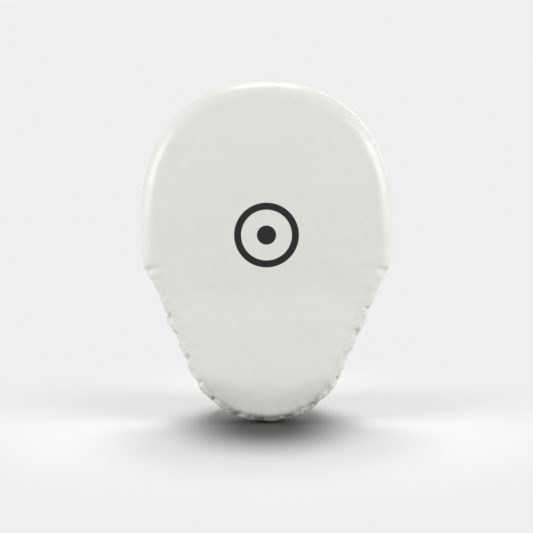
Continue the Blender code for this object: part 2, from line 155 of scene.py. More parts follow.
def piece(name, grids, finish, nodes=(), body="pad", wall=0.0, wrap=False, centre=(0, 0, 0), grime_and_shade=0.0):
    """One smooth-shaded object from grids of points (rows, columns, 3). wrap joins last column to first.
    Faces look away from centre; wall thickens the skin behind them, or in front if negative. The UV map holds
    metres along the columns and rows. The seam map, from 0 to 1, is how near a seam or crease each point is;
    leather darkens there, partly with grime and partly with painted shade."""
    points, quads, places, marks, start = [], [], [], [], 0
    for grid in grids:
        rows, columns = grid.shape[:2]
        index = np.arange(rows * columns).reshape(rows, columns) + start
        closed = np.concatenate([grid, grid[:, :1]], 1) if wrap else grid
        index = np.concatenate([index, index[:, :1]], 1) if wrap else index
        across = np.linalg.norm(np.diff(closed, axis=1), axis=2).max(0)
        along = np.linalg.norm(np.diff(grid, axis=0), axis=2).max(1)
        u, v = (np.concatenate([[0.0], np.cumsum(step)]) for step in (across, along))
        flat = np.stack(np.meshgrid(u, v), -1)
        corners = (np.s_[:-1, :-1], np.s_[:-1, 1:], np.s_[1:, 1:], np.s_[1:, :-1])
        quads.append(np.stack([index[c] for c in corners], -1).reshape(-1, 4))
        places.append(np.stack([flat[c] for c in corners], -2).reshape(-1, 2))
        points.append(grid.reshape(-1, 3))
        marks.append(np.broadcast_to(grime_and_shade, grid.shape[:2]).reshape(-1))
        start += rows * columns
    mesh = bpy.data.meshes.new(name)
    mesh.from_pydata(np.concatenate(points).tolist(), [], np.concatenate(quads).tolist())
    mesh.uv_layers.new(name="cloth").data.foreach_set("uv", np.concatenate(places).ravel())
    mesh.attributes.new("grime_and_shade", "FLOAT", "POINT").data.foreach_set("value", np.concatenate(marks))
    bm = bmesh.new()
    bm.from_mesh(mesh)
    bmesh.ops.remove_doubles(bm, verts=bm.verts, dist=0.000004)
    bmesh.ops.recalc_face_normals(bm, faces=bm.faces)
    bm.to_mesh(mesh)
    bm.free()
    normals, middles = np.empty((2, len(mesh.polygons), 3))
    areas = np.empty(len(mesh.polygons))
    for attribute, array in (("normal", normals), ("center", middles), ("area", areas)):
        mesh.polygons.foreach_get(attribute, array.reshape(-1))
    if ((normals * (middles - centre)).sum(1) * areas).sum() < 0.0:
        mesh.flip_normals()
    mesh.shade_smooth()
    made = bpy.data.objects.new(name, mesh)
    bpy.context.collection.objects.link(made)
    mesh.materials.append(finish)
    if wall:
        skin = made.modifiers.new("wall", "SOLIDIFY")
        skin.thickness, skin.offset = abs(wall), -np.sign(wall)
    if body:
        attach(made, body)
    if nodes:
        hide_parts(*nodes)
    return made


class Shade:
    """A socket in a shader: arithmetic on it adds Math nodes."""

    def __init__(self, finish, socket):
        self.finish, self.socket = finish, socket

    def _math(self, operation, *values):
        return self.finish.node("Math", {"operation": operation}, dict(enumerate(values)))

    def __add__(self, other):
        return self._math("ADD", self, other)

    def __sub__(self, other):
        return self._math("SUBTRACT", self, other)

    def __rsub__(self, other):
        return self._math("SUBTRACT", other, self)

    def __mul__(self, other):
        return self._math("MULTIPLY", self, other)

    def __pow__(self, other):
        return self._math("POWER", self, other)

    def __abs__(self):
        return self._math("ABSOLUTE", self)

    __radd__, __rmul__ = __add__, __mul__

    def step(self, low, high):
        """0 below low and 1 above high, eased between them; turned round where low is the greater."""
        return self.finish.node("MapRange", {"interpolation_type": "SMOOTHSTEP"}, {0: self, 1: low, 2: high})


class Finish:
    """A material being mixed: constants go straight onto its Principled shader's sockets."""

    def __init__(self, name, **constants):
        self.material = bpy.data.materials.new(name)
        self.material.use_nodes = True
        self.tree = self.material.node_tree
        self.shader = self.tree.nodes["Principled BSDF"]
        for key, value in constants.items():
            self.shader.inputs[key.replace("_", " ")].default_value = value
        self.place = self.node("TexCoord", output="Object")

    def node(self, kind, settings=None, values=None, output=0):
        """Adds a node: its settings first, then the values or links of its sockets."""
        made = self.tree.nodes.new("ShaderNode" + kind)
        for key, value in (settings or {}).items():
            setattr(made, key, value)
        for key, value in (values or {}).items():
            self.feed(made.inputs[key], value)
        return Shade(self, made.outputs[output])

    def feed(self, socket, value):
        """Links a Shade to a socket, or sets its value."""
        if isinstance(value, Shade):
            self.tree.links.new(value.socket, socket)
        else:
            socket.default_value = value

    def mix(self, factor, first, second):
        """From the first colour to the second."""
        first, second = (c if isinstance(c, Shade) else (*c, 1.0) for c in (first, second))
        return self.node("Mix", {"data_type": "RGBA"}, {0: factor, 6: first, 7: second}, 2)

    def noise(self, size, detail=2.0, place=None):
        """Soft noise from 0 to 1 whose lumps are about size across."""
        return self.node("TexNoise", None, {"Vector": place or self.place, "Scale": 1.0 / size,
                                            "Detail": detail})

    def cells(self, size, place=None, feature="F1"):
        """Distance inside cells about size across, 0 at each cell's middle."""
        return self.node("TexVoronoi", {"feature": feature},
                         {"Vector": place or self.place, "Scale": 1.0 / size}, "Distance")

    def grime_and_shade(self):
        """How near a seam or crease each point is, as its mesh says: where the leather darkens with grime and
        painted shade.
        """
        return self.node("Attribute", {"attribute_name": "grime_and_shade"}, output="Fac")

    def done(self, color, roughness, height, depth):
        """Feeds colour, roughness and a bump of the given depth in metres."""
        self.feed(self.shader.inputs["Base Color"], color)
        self.feed(self.shader.inputs["Roughness"], roughness)
        bump = self.node("Bump", None, {"Height": height, "Distance": depth, "Strength": 1.0})
        self.feed(self.shader.inputs["Normal"], bump)
        return self.material


def foam(name, color, cell):
    """Closed-cell foam: small pits over slow blotches of tone."""
    mix = Finish(name, Specular_IOR_Level=0.2)
    blotch = mix.noise(14 * MM)
    pits = mix.cells(cell)
    tone = mix.mix(blotch * 0.35 + pits * 0.3, color, tuple(0.72 * c for c in color))
    return mix.done(tone, 0.86 + 0.1 * blotch, pits, 0.2 * MM)


def tip_drop(edge, inward):
    """How far the face falls back at inward metres from the seam, only where the edge looks down."""
    return TIP_DROP * ease(*TIP_SLOPES, -edge[3]) * np.clip(1 - inward / TIP_RUN, 0, 1) ** 2.2


def face_rows(edge, inset, rows, turns):
    """Flat-pattern grids from the spine out over the face and round the roll: x, y, s, then how far
    in from the seam, and the outward direction's share across and share forwards."""
    spine = np.clip(edge[1], *SPINE)
    radius = roll(edge[1])
    rim_x, _, rim_s = ring(edge, -radius, -PAD_DEPTH + 0 * radius)
    reach = np.hypot(rim_x, rim_s - spine)
    share = np.sin(np.linspace(0.0, 0.5 * np.pi, rows))[:, None] ** 0.9
    inward = (1 - share) * reach + 0.5 * np.pi * radius
    crown = FACE_CROWN * (1 - share**2) ** 1.2
    depth = inset - PAD_DEPTH - crown + tip_drop(edge, inward)
    face = (rim_x * share, depth, spine + (rim_s - spine) * share)
    turn = np.linspace(0.0, 0.5 * np.pi, turns + 1)[1:, None]
    inward_roll = (0.5 * np.pi - turn) * radius
    small = radius - inset
    rolled = ring(edge, small * np.sin(turn) - radius, radius - PAD_DEPTH - small * np.cos(turn))
    rolled = (rolled[0], rolled[1] + tip_drop(edge, inward_roll), rolled[2])
    x, y, s, inward = (np.concatenate([np.broadcast_to(a, (len(t), a.shape[-1])), b])
                       for a, b, t in ((face[0], rolled[0], share), (face[1], rolled[1], share),
                                       (face[2], rolled[2], share), (inward, inward_roll, share)))
    turns_all = np.concatenate([0 * share, turn])
    return x, y, s, inward, np.sin(turns_all), np.cos(turns_all)


grey_foam = foam("grey_impact_foam", (0.20, 0.20, 0.22), 1.1 * MM)
black_foam = foam("black_backing_foam", (0.05, 0.05, 0.055), 0.9 * MM)
core = foam("cream_core_foam", (0.60, 0.57, 0.48), 1.3 * MM)

edge = outline(240)
x, y, s, *_ = face_rows(edge, FOAM_INSET, 10, 5)
sides = fold(*ring(edge, -FOAM_INSET, np.full((2, 1), IMPACT_BACK) * [[1.1], [1]]))
spine = np.clip(edge[1], *SPINE)
back = fold(*(a * [[1], [0]] + b * [[0], [1]] for a, b in zip(
    ring(edge, -FOAM_INSET, np.full((1, 240), IMPACT_BACK)), (0 * spine, 0 * spine + IMPACT_BACK, spine))))
impact = piece("impact_foam_slab", [np.concatenate([fold(x, y, s), sides, back])], grey_foam,
               ["impact_foam"], wrap=True)


def slab_grid(front, rear):
    """Closed slab of foam between two depths: out from the spine in front and back to it behind."""
    sheets = []
    for share, depth in ((np.linspace(0.0, 1.0, 9), front), (np.linspace(1.0, 0.0, 9), rear)):
        rim_x, _, rim_s = ring(edge, -SLAB_INSET, depth + 0 * edge[0])
        sheets.append(fold(rim_x * share[:, None], depth, spine + (rim_s - spine) * share[:, None]))
    return np.concatenate(sheets)


for node, finish, front, rear in (("core_foam", core, IMPACT_BACK + FOAM_GAP, CORE_BACK),
                                  ("backing_foam", black_foam, CORE_BACK + FOAM_GAP, -SKIN - FOAM_GAP)):
    piece(node + "_slab", [slab_grid(front, rear)], finish, [node], wrap=True)


# Face cover. One panel of smooth white synthetic leather stretched over the foam, rolled round its edge
# and turned in at the seam. Two short puckers mark where the side gusset ends and the gathers begin.
FACE_COLUMNS = 560
SEAM_LIP = 1.0 * MM
LIP_STEPS = np.array([0.8, 0.55, 0.35, 0.15, 0.0])[:, None] * MM
GROOVE, GROOVE_WIDTH = 0.9 * MM, 0.4 * MM
PUCKER_PLACE = (91.5 * MM, 8.0 * MM)
PUCKER_WAY = (-0.966, 0.259)
PUCKER_LENGTH = 21 * MM
CREASE_DEPTH, CREASE_WIDTH = 0.34 * MM, 2.8 * MM
DIMPLE_DEPTH, DIMPLE_WIDTH = 1.0 * MM, 3.6 * MM
MARK_HEIGHT = 37 * MM
MARK_RING, MARK_LINE, MARK_DOT = 22.5 * MM, 5.5 * MM, 7.5 * MM
COAT = 0.12


def seam(edge):
    """Depth of the seam between the face and the side pieces."""
    return roll(edge[1]) + SEAM_LIP - PAD_DEPTH + tip_drop(edge, 0.0)


def pucker(x, s):
    """Depth of the dimple and of the crease that runs in from it, mirrored left and right."""
    right, up = np.abs(x) - PUCKER_PLACE[0], s - PUCKER_PLACE[1]
    along = right * PUCKER_WAY[0] + up * PUCKER_WAY[1]
    off = up * PUCKER_WAY[0] - right * PUCKER_WAY[1]
    crease = CREASE_DEPTH * ease(-5 * MM, 0, along) * ease(PUCKER_LENGTH, 2 * MM, along)
    dimple = DIMPLE_DEPTH * np.exp(-(along**2 + off**2) / DIMPLE_WIDTH**2)
    return crease * np.exp(-((off / CREASE_WIDTH) ** 2)) + dimple


def leather(name, light, dark, roughness, pebble=0.9 * MM, relief=0.05 * MM, mark=False):
    """Coated synthetic leather: fine pebbles under a satin coat, slow drifts of tone and sheen, and darkening
    towards seams and creases that is partly grime and partly painted shade. mark prints the plain black
    target."""
    mix = Finish(name, Specular_IOR_Level=0.45, Coat_Weight=COAT, Coat_Roughness=0.28)
    drift = mix.noise(46 * MM, 3.0)
    fine = mix.noise(3.5 * MM, 4.0)
    grime_and_shade = mix.grime_and_shade()
    cells = mix.cells(pebble, feature="SMOOTH_F1")
    # Darker near seams and creases: partly grime, partly painted shade.
    grime_and_shade_mix = grime_and_shade * (0.35 + 0.5 * fine)
    tone = mix.mix(drift * 0.5 + grime_and_shade_mix, light, dark)
    gloss = roughness + 0.10 * drift + 0.08 * fine - 0.04 * grime_and_shade
    height = cells * 0.8 + fine * 0.5
    if mark:
        parts = mix.node("SeparateXYZ", None, {0: mix.place}).socket.node.outputs
        across, deep, up = (Shade(mix, part) for part in parts)
        reach = (across * across + (up - MARK_HEIGHT) ** 2.0) ** 0.5
        front = deep.step(-36 * MM, -40 * MM)
        blur = 0.25 * MM
        dot = reach.step(MARK_DOT + blur, MARK_DOT - blur)
        band = abs(reach - MARK_RING).step(MARK_LINE * 0.5 + blur, MARK_LINE * 0.5 - blur)
        ink = (dot + band) * front * (fine * 1.4 + 0.42).step(0.40, 0.62)
        tone = mix.mix(ink, tone, (0.002, 0.002, 0.003))
        mix.feed(mix.shader.inputs["Coat Weight"], COAT - COAT * ink)
        gloss = gloss + 0.22 * ink
        height = height + 0.6 * ink
    return mix.done(tone, gloss, height, relief)


WHITE, CREAM = (0.800, 0.802, 0.765), (0.745, 0.735, 0.685)
face_leather = leather("white_face_leather", WHITE, CREAM, 0.36, mark=True)
white_leather = leather("white_leather", WHITE, CREAM, 0.38)

edge = outline(FACE_COLUMNS)
x, y, s, inward, side, ahead = face_rows(edge, 0.0, 46, 16)
flat = np.stack([x, s], -1)
sag = 0.30 * MM * ripple(flat, 55 * MM, 11) + 0.10 * MM * ripple(flat, 17 * MM, 12)
run = np.stack([0 * inward + edge[4], 0.3 * inward], -1)
pull = np.exp(-inward / (7 * MM)) * (0.16 + 0.22 * gather(s)) * MM * ripple(run, 11 * MM, 13)
sink = (sag + pull) * ease(0, 3 * MM, inward) + pucker(x, s)
x, s, y = x - edge[2] * side * sink, s - edge[3] * side * sink, y + ahead * sink
lip = ring(edge, 0 * edge[0] - GROOVE * np.exp(-LIP_STEPS / GROOVE_WIDTH), seam(edge) - LIP_STEPS)
cover_grid = np.concatenate([fold(x, y, s), fold(*lip)])
# Painted shade with some grime: darker close to the seam and over the turned-in lip.
grime_and_shade = np.concatenate([np.exp(-inward / (5 * MM)) * 0.35, 0.6 * np.ones(lip[0].shape)])
face = piece("face_panel", [cover_grid], face_leather, ["face_cover"], wrap=True,
             wall=SKIN, grime_and_shade=grime_and_shade, centre=(0, -0.02, 0.03))


# Side pieces. A plain leather gusset runs round the finger end; from the notches down it gives way to a
# longer strip gathered into both seams, which puffs into folds round the heel.
GUSSET_BULGE = 0.9 * MM
BAND_COLUMNS = 720
BAND_BULGE = 2.3 * MM
BAND_STEPS = 25
GATHER_EXCESS, FOLD_SHARE = 0.13, 0.75
FOLD_LIMITS, FOLD_WINDOW = (-2.2 * MM, 2.6 * MM), 61
STRIP_WIDTH = 25 * MM
SIM_SCALE = 20.0
HOOD_PRESSURE = 4.0


def wall_rows(edge, steps, bulge):
    """Share of depth for each row from the front seam to the back, and its offset: seam grooves at both
    ends over a low arch."""
    t = 0.5 - 0.5 * np.cos(np.linspace(0.0, np.pi, steps))[:, None]
    deep = -SKIN - seam(edge)
    front, rear = t * deep, (1 - t) * deep
    groove = GROOVE * (np.exp(-front / GROOVE_WIDTH) + 0.8 * np.exp(-rear / GROOVE_WIDTH))
    return t, seam(edge) + t * deep, bulge * np.sin(np.pi * t) ** 0.6 - groove


def rim_lean(edge):
    """How far the back edge stands out past the outline, most at the tip."""
    return (2.0 + 2.4 * np.maximum(-edge[3], 0.0) ** 2) * MM


gusset_edge = outline(FACE_COLUMNS)
last = np.flatnonzero(gusset_edge[1][: FACE_COLUMNS // 2] >= NOTCH)[-1]
gusset_edge = gusset_edge[:, np.arange(-last, last + 1)]
gusset_run = np.arange(2 * last + 1) * outline(FACE_COLUMNS)[4, 1]
t, depth, out = wall_rows(gusset_edge, 24, GUSSET_BULGE)
ends = np.minimum(gusset_run, gusset_run[::-1])
waves = ripple(np.stack([gusset_run + 0 * t, 30 * MM * t + 0 * gusset_run], -1), 12 * MM, 21)
out = out + 0.22 * MM * waves * np.sin(np.pi * t) - 0.7 * MM * np.exp(-ends / (1.0 * MM))
# Painted shade with some grime: darker towards the front and back seams.
grime_and_shade = np.exp(-np.minimum(t, 1 - t) * 12) + 0 * ends
gusset = piece("side_gusset_panel", [fold(*ring(gusset_edge, out, depth))], white_leather,
               ["side_gusset"], wall=SKIN, grime_and_shade=grime_and_shade, centre=(0, -0.02, 0.04))


def swell(grid, pinned, frames, pressure=0.0, excess=0.0, bending=0.5, cap=4 * MM):
    """Lets a grid of points go as cloth: cut larger by the share excess, blown out by pressure, held
    where pinned. The cloth is worked out SIM_SCALE times larger, and no point moves more than cap."""
    rows, columns = grid.shape[:2]
    index = np.arange(rows * columns).reshape(rows, columns)
    quads = np.stack([index[:-1, :-1], index[:-1, 1:], index[1:, 1:], index[1:, :-1]], -1).reshape(-1, 4)
    mesh = bpy.data.meshes.new("cloth")
    mesh.from_pydata((grid.reshape(-1, 3) * SIM_SCALE).tolist(), [], quads.tolist())
    cloth = bpy.data.objects.new("cloth", mesh)
    bpy.context.collection.objects.link(cloth)
    cloth.vertex_groups.new(name="pin").add(index[pinned].tolist(), 1.0, "REPLACE")
    fabric = cloth.modifiers.new("cloth", "CLOTH")
    way = fabric.settings
    way.vertex_group_mass = "pin"
    way.shrink_min = -excess
    way.quality = 5
    way.bending_stiffness = bending
    way.use_pressure = pressure != 0.0
    way.uniform_pressure_force = pressure
    way.effector_weights.gravity = 0.0
    for number in range(1, frames + 1):
        bpy.context.scene.frame_set(number)
    shaped = cloth.evaluated_get(bpy.context.evaluated_depsgraph_get()).to_mesh()
    moved = np.empty(rows * columns * 3, np.float32)
    shaped.vertices.foreach_get("co", moved)
    bpy.data.objects.remove(cloth)
    bpy.context.scene.frame_set(1)
    move = moved.reshape(rows, columns, 3) / SIM_SCALE - grid
    reach = np.linalg.norm(move, axis=2, keepdims=True)
    return grid + move * np.minimum(1.0, cap / np.maximum(reach, 1e-9))


gathered_leather = leather("gathered_leather", WHITE, (0.72, 0.70, 0.64), 0.42, relief=0.08 * MM)
band_edge = outline(BAND_COLUMNS)
first = np.flatnonzero(band_edge[1][: BAND_COLUMNS // 2] < NOTCH)[0] - 1
band_edge = band_edge[:, np.arange(first, BAND_COLUMNS - first + 1) % BAND_COLUMNS]
columns = band_edge.shape[1]
band_run = np.arange(columns) * outline(BAND_COLUMNS)[4, 1]
t, depth, out = wall_rows(band_edge, 22, 0.0)
lay = 0.5 * MM * ripple(np.stack([band_run + 0 * t, 8 * MM * t + 0 * band_run], -1), 20 * MM, 31)
strip = np.stack([band_run + 0 * t, (lay + 1.5 * MM) * np.sin(np.pi * t), STRIP_WIDTH * t + 0 * band_run], -1)
pins = np.zeros(strip.shape[:2], bool)
pins[[0, -1]] = pins[:, [0, -1]] = True
loose = swell(strip, pins, BAND_STEPS, excess=GATHER_EXCESS, bending=0.6, cap=7 * MM)
puff = loose[..., 1]
kernel = np.ones(FOLD_WINDOW) / FOLD_WINDOW
mean = np.stack([np.convolve(np.pad(row, FOLD_WINDOW // 2, mode="edge"), kernel, "valid") for row in puff])
folds = np.clip(puff - mean, *FOLD_LIMITS)
shift = loose[..., 0] - strip[..., 0]
puffed = ease(0.0, 0.04, band_run / band_run[-1]) * ease(0.0, 0.04, 1 - band_run / band_run[-1])
grow = gather(band_edge[1]) * puffed
profile = np.sin(np.pi * np.clip(t, 0, 1)) ** 0.5
swelling = BAND_BULGE * profile + folds * FOLD_SHARE + rim_lean(band_edge) * t**3
out = out + swelling * grow + 0.3 * MM * profile
slide = shift / band_run[1]
place = np.clip(np.arange(columns) + slide, 0, columns - 1)
moved_edge = np.stack([np.interp(place.ravel(), np.arange(columns), row).reshape(place.shape)
                       for row in band_edge])
depth = seam(moved_edge) + t * (-SKIN - seam(moved_edge))
# Painted shade with some grime: darker towards both seams and in the inward creases of the gathers.
grime_and_shade = np.clip(0.45 * np.exp(-np.minimum(t, 1 - t) * 14) - folds * 130, 0, 0.8)
grid = fold(*ring(moved_edge, out, depth))
band = piece("gathered_heel_band", [grid], gathered_leather, ["gathered_band"],
             wall=SKIN * 0.8, grime_and_shade=grime_and_shade, centre=(0, -0.03, -0.04))


# Back panel. The same white leather closes the back, where the palm lies; its edge is rolled over a cord,
# which the gathers twist like a rope round the heel.
WELT, WELT_PITCH = 1.5 * MM, 5 * MM


def polar(edge, offset, depth, spine, rows):
    """Flat sheet from the spine out to the edge moved by offset, at one depth."""
    share = np.linspace(0.0, 1.0, rows)[:, None] ** 0.8
    rim_x, _, rim_s = ring(edge, offset, depth + 0 * edge[0])
    middle = np.clip(edge[1], *spine)
    return rim_x * share, depth + 0 * rim_x * share, middle + (rim_s - middle) * share, share


edge = outline(400)
rim_out = rim_lean(edge) * gather(edge[1])
x, y, s, share = polar(edge, rim_out - WELT, 0.0, SPINE, 26)
low_spots = 0.15 * MM * ripple(np.stack([x, s], -1), 40 * MM, 41) * (1 - share**6)
grid = fold(x, -0.2 * MM + low_spots - 0.6 * MM * share**12, s)
# Painted shade with some grime: darker at the panel's outer edge, by the welt.
panel = piece("back_leather_panel", [grid], white_leather, ["back_panel"], wrap=True,
              wall=SKIN * 0.8, grime_and_shade=share**14 * 0.8 + 0 * x, centre=(0, -0.05, 0))
angle = np.linspace(0.0, 2 * np.pi, 12, endpoint=False)[:, None]
strands = 2 * np.pi * np.round(edge[4][-1] / WELT_PITCH) * np.arange(400) / 400
thick = WELT * (1 + 0.17 * gather(edge[1]) * np.sin(strands + angle))
welt = fold(*ring(edge, rim_out - 0.3 * MM + thick * np.cos(angle), -0.9 * MM + thick * np.sin(angle)))
piece("edge_welt", [np.concatenate([welt, welt[:1]])], gathered_leather, wrap=True,
      grime_and_shade=0.25)


# Finger hood. A padded hood sewn to the back panel along its foot: white leather over foam, black mesh
# inside, three sewn lines where the finger webs are caught, and a black tape bound over the mouth.
HOOD_X, HOOD_MOUTH, HOOD_TOP = 12 * MM, 5 * MM, 128 * MM
HOOD_HALF, HOOD_HEIGHT, HOOD_DROP = 52 * MM, 40 * MM, 18 * MM
HOOD_INSIDE = 8.4 * MM
HOOD_CLOSE = 0.97
WEB_PITCH, WEB_START, WEB_END, WEB_THICK = 22 * MM, 24 * MM, 92 * MM, 1.6 * MM
CHANNEL_DEPTH, CHANNEL_WIDTH, CHANNEL_FOOT = 2.0 * MM, 1.8 * MM, 12 * MM
FOAM_DEPTH, FOAM_THICK = 3.4 * MM, 3.6 * MM
LINING_DEPTH, MESH_THICK = 7.6 * MM, 0.7 * MM
TAPE_RUN, TAPE_BEND = 18 * MM, 3.0 * MM
FINE_STITCH = {"step": 3.2 * MM, "length": 2.3 * MM}
ARCH_POWER = 2.4
STAND = 0.3 * MM


def arch(turn, centre, half, height):
    """Superellipse arch standing on the back panel: turn runs from the right foot over to the left."""
    power = 2.0 / ARCH_POWER
    across = np.sign(np.cos(turn)) * np.abs(np.cos(turn)) ** power
    return centre + half * across, STAND + height * np.abs(np.sin(turn)) ** power


def hood_size(share, depth):
    """The hood's half width and height, depth below its outside: both round off to the closed top."""
    half = (HOOD_HALF - depth) * np.sqrt(1 - HOOD_CLOSE * share**4)
    return half, (HOOD_HEIGHT - depth - HOOD_DROP * share) * np.sqrt(1 - share**5)


def hood_at(share, turn, depth):
    """Hood surface depth below its outside: share runs from the mouth to the closed top."""
    x, y = arch(turn, HOOD_X, *hood_size(share, depth))
    length = HOOD_MOUTH + (HOOD_TOP - depth - HOOD_MOUTH) * share
    return x, y, length + 0 * turn


def facing(grid):
    """Unit normals of a grid whose columns run right to left and whose rows run up, looking outwards."""
    down, across = np.gradient(grid, axis=0), np.gradient(grid, axis=1)
    normal = np.cross(across, down)
    return normal / np.maximum(np.linalg.norm(normal, axis=2, keepdims=True), 1e-12)


def along(path, step):
    """Points every step along a path, with the unit direction at each."""
    gaps = np.linalg.norm(np.diff(path, axis=0), axis=1)
    run = np.concatenate([[0.0], np.cumsum(gaps)])
    places = np.linspace(0.5 * step, run[-1] - 0.5 * step, max(int(run[-1] / step), 2))
    points = np.stack([np.interp(places, run, path[:, k]) for k in range(3)], -1)
    ahead = np.gradient(points, axis=0)
    return places, run, points, ahead / np.linalg.norm(ahead, axis=1, keepdims=True)


def stitches(name, path, up, finish, slot, body="pad", step=3.6 * MM, length=2.7 * MM, thick=0.42 * MM):
    """A row of thread stitches on a path: each a spindle that dips into the leather at both ends."""
    places, run, points, ahead = along(path, step)
    up = np.stack([np.interp(places, run, up[:, k]) for k in range(3)], -1)
    across = np.cross(up, ahead)
    t = np.linspace(-1.0, 1.0, 7)
    fat = thick * np.sqrt(1 - t**2) + 1e-9
    turn = np.linspace(0.0, 2 * np.pi, 6, endpoint=False)
    grid = (points[:, None, None] + ahead[:, None, None] * (0.5 * length * t)[:, None, None]
            + up[:, None, None] * (0.5 * thick * (1 - 2 * t**2))[:, None, None]
            + up[:, None, None] * (fat[:, None] * np.sin(turn))[..., None]
            + across[:, None, None] * (fat[:, None] * np.cos(turn))[..., None])
    return piece(name, list(grid), finish, body=body, wrap=True, centre=points.mean(0) - up.mean(0))


def mesh_cloth(name, color, hole=1.3 * MM):
    """Knitted spacer mesh: rows of small round holes, half a step apart, on the piece's own UV map."""
    mix = Finish(name, Sheen_Weight=0.35, Sheen_Roughness=0.5, Specular_IOR_Level=0.25)
    place = mix.node("TexCoord", output="UV")
    holes = mix.node("TexVoronoi", {"feature": "F1"},
                     {"Vector": place, "Scale": 1 / hole, "Randomness": 0.08}, "Distance")
    yarn = mix.noise(0.5 * MM, 2.0)
    lint = mix.noise(9 * MM, 3.0)
    open_hole = holes.step(0.34, 0.20)
    tone = mix.mix(open_hole * 0.9, mix.mix(lint * 0.6 + yarn * 0.4, color, tuple(2.1 * c for c in color)),
                   tuple(0.2 * c for c in color))
    return mix.done(tone, 0.80 + 0.12 * yarn, holes * 1.0 + yarn * 0.3, 0.35 * MM)


def tape(name, color, rib=0.7 * MM, rough=0.62):
    """Grosgrain tape: fine cross ribs along the piece's own UV map."""
    mix = Finish(name, Sheen_Weight=0.25, Specular_IOR_Level=0.3)
    place = mix.node("TexCoord", output="UV")
    ribs = mix.node("TexWave", {"wave_type": "BANDS", "bands_direction": "X"},
                    {"Vector": place, "Scale": 0.3142 / rib, "Distortion": 0.4}, "Fac")
    fuzz = mix.noise(1.2 * MM, 3.0)
    tone = mix.mix(ribs * 0.5 + fuzz * 0.5, color, tuple(2.4 * c for c in color))
    return mix.done(tone, rough + 0.15 * fuzz, ribs + 0.4 * fuzz, 0.18 * MM)


def thread(name, color):
    """Waxed sewing thread."""
    mix = Finish(name, Specular_IOR_Level=0.5)
    lay = mix.noise(0.3 * MM, 1.0)
    return mix.done(mix.mix(lay, color, tuple(0.82 * c for c in color)), 0.45 + 0.1 * lay, lay, 0.05 * MM)


black_mesh = mesh_cloth("black_spacer_mesh", (0.012, 0.012, 0.014))
black_tape = tape("black_binding_tape", (0.014, 0.014, 0.016))
white_thread = thread("white_thread", (0.86, 0.86, 0.83))
black_thread = thread("black_thread", (0.02, 0.02, 0.02))
hood_leather = leather("white_hood_leather", WHITE, CREAM, 0.40, relief=0.07 * MM)

share = np.sin(np.linspace(0.0, 0.5 * np.pi, 66))[:, None]
turn = np.linspace(0.0, np.pi, 112)[None]
x, y, s = hood_at(share, turn, 0.0 * turn)
web_span = ease(WEB_START - 3 * MM, WEB_START + 3 * MM, s) * ease(WEB_END + 3 * MM, WEB_END - 3 * MM, s)
nearest = np.abs(x[..., None] - HOOD_X - WEB_PITCH * np.array([-1, 0, 1])).min(-1)
channel = np.exp(-((nearest / CHANNEL_WIDTH) ** 2)) * web_span * (y > CHANNEL_FOOT)
foot = np.minimum(y / (6 * MM), 1.0)
base = fold(*hood_at(share, turn, CHANNEL_DEPTH * channel + 0.6 * MM * (1 - foot)))
pins = (channel > 0.55) | (turn < 0.03) | (turn > np.pi - 0.03) | (share < 0.02) | (share > 0.995)
full = swell(base, pins, 18, pressure=HOOD_PRESSURE, excess=0.03, bending=1.0, cap=3.0 * MM)
near_mouth = ease(2 * MM, 14 * MM, s - HOOD_MOUTH)[..., None]
full = base + (full - base) * near_mouth * 0.9
wrinkle = 0.16 * MM * ripple(np.stack([x, y, s * 0.6], -1), 9 * MM, 51)
wrinkle = wrinkle * np.exp(-nearest / (7 * MM)) * web_span
full = full + facing(full) * (wrinkle + 0.12 * MM * ripple(np.stack([x, y, s], -1), 30 * MM, 52))[..., None]
full[[0, -1]] = base[[0, -1]]
# Painted shade with some grime: darker in the sewn channels and at the hood's foot on the back panel.
hood = piece("hood_padded_cover", [full], hood_leather, ["hood_cover"], wall=SKIN * 0.8,
             grime_and_shade=np.clip(channel + np.exp(-y / (4 * MM)), 0, 1) * 0.8, centre=(HOOD_X, 0, 0.05))
for number in range(3):
    line = np.abs(x - HOOD_X - WEB_PITCH * (number - 1)) + (y < CHANNEL_FOOT) * 1.0
    rows = np.flatnonzero((s[:, 0] > WEB_START) & (s[:, 0] < WEB_END))
    columns = line[rows].argmin(1)
    path, up = full[rows, columns], facing(full)[rows, columns]
    path[:, 0] = HOOD_X + WEB_PITCH * (number - 1)
    stitches(f"hood_stitch_line_{number + 1}", path + 0.1 * MM * up, up, white_thread, "white_leather")

grid = fold(*hood_at(share[::2], turn[:, ::2], FOAM_DEPTH))
piece("hood_foam_layer", [grid], black_foam, ["hood_foam"], wall=FOAM_THICK,
                centre=(HOOD_X, 0, 0.05))
x, y, s = hood_at(share[::2], turn[:, ::2], LINING_DEPTH)
slack = 0.25 * MM * ripple(np.stack([x, y, s], -1), 14 * MM, 53)
grid = fold(*hood_at(share[::2], turn[:, ::2], LINING_DEPTH + slack))
lining = piece("hood_mesh_lining", [grid], black_mesh, ["hood_lining"], wall=MESH_THICK,
               centre=(HOOD_X, 0, 0.05))

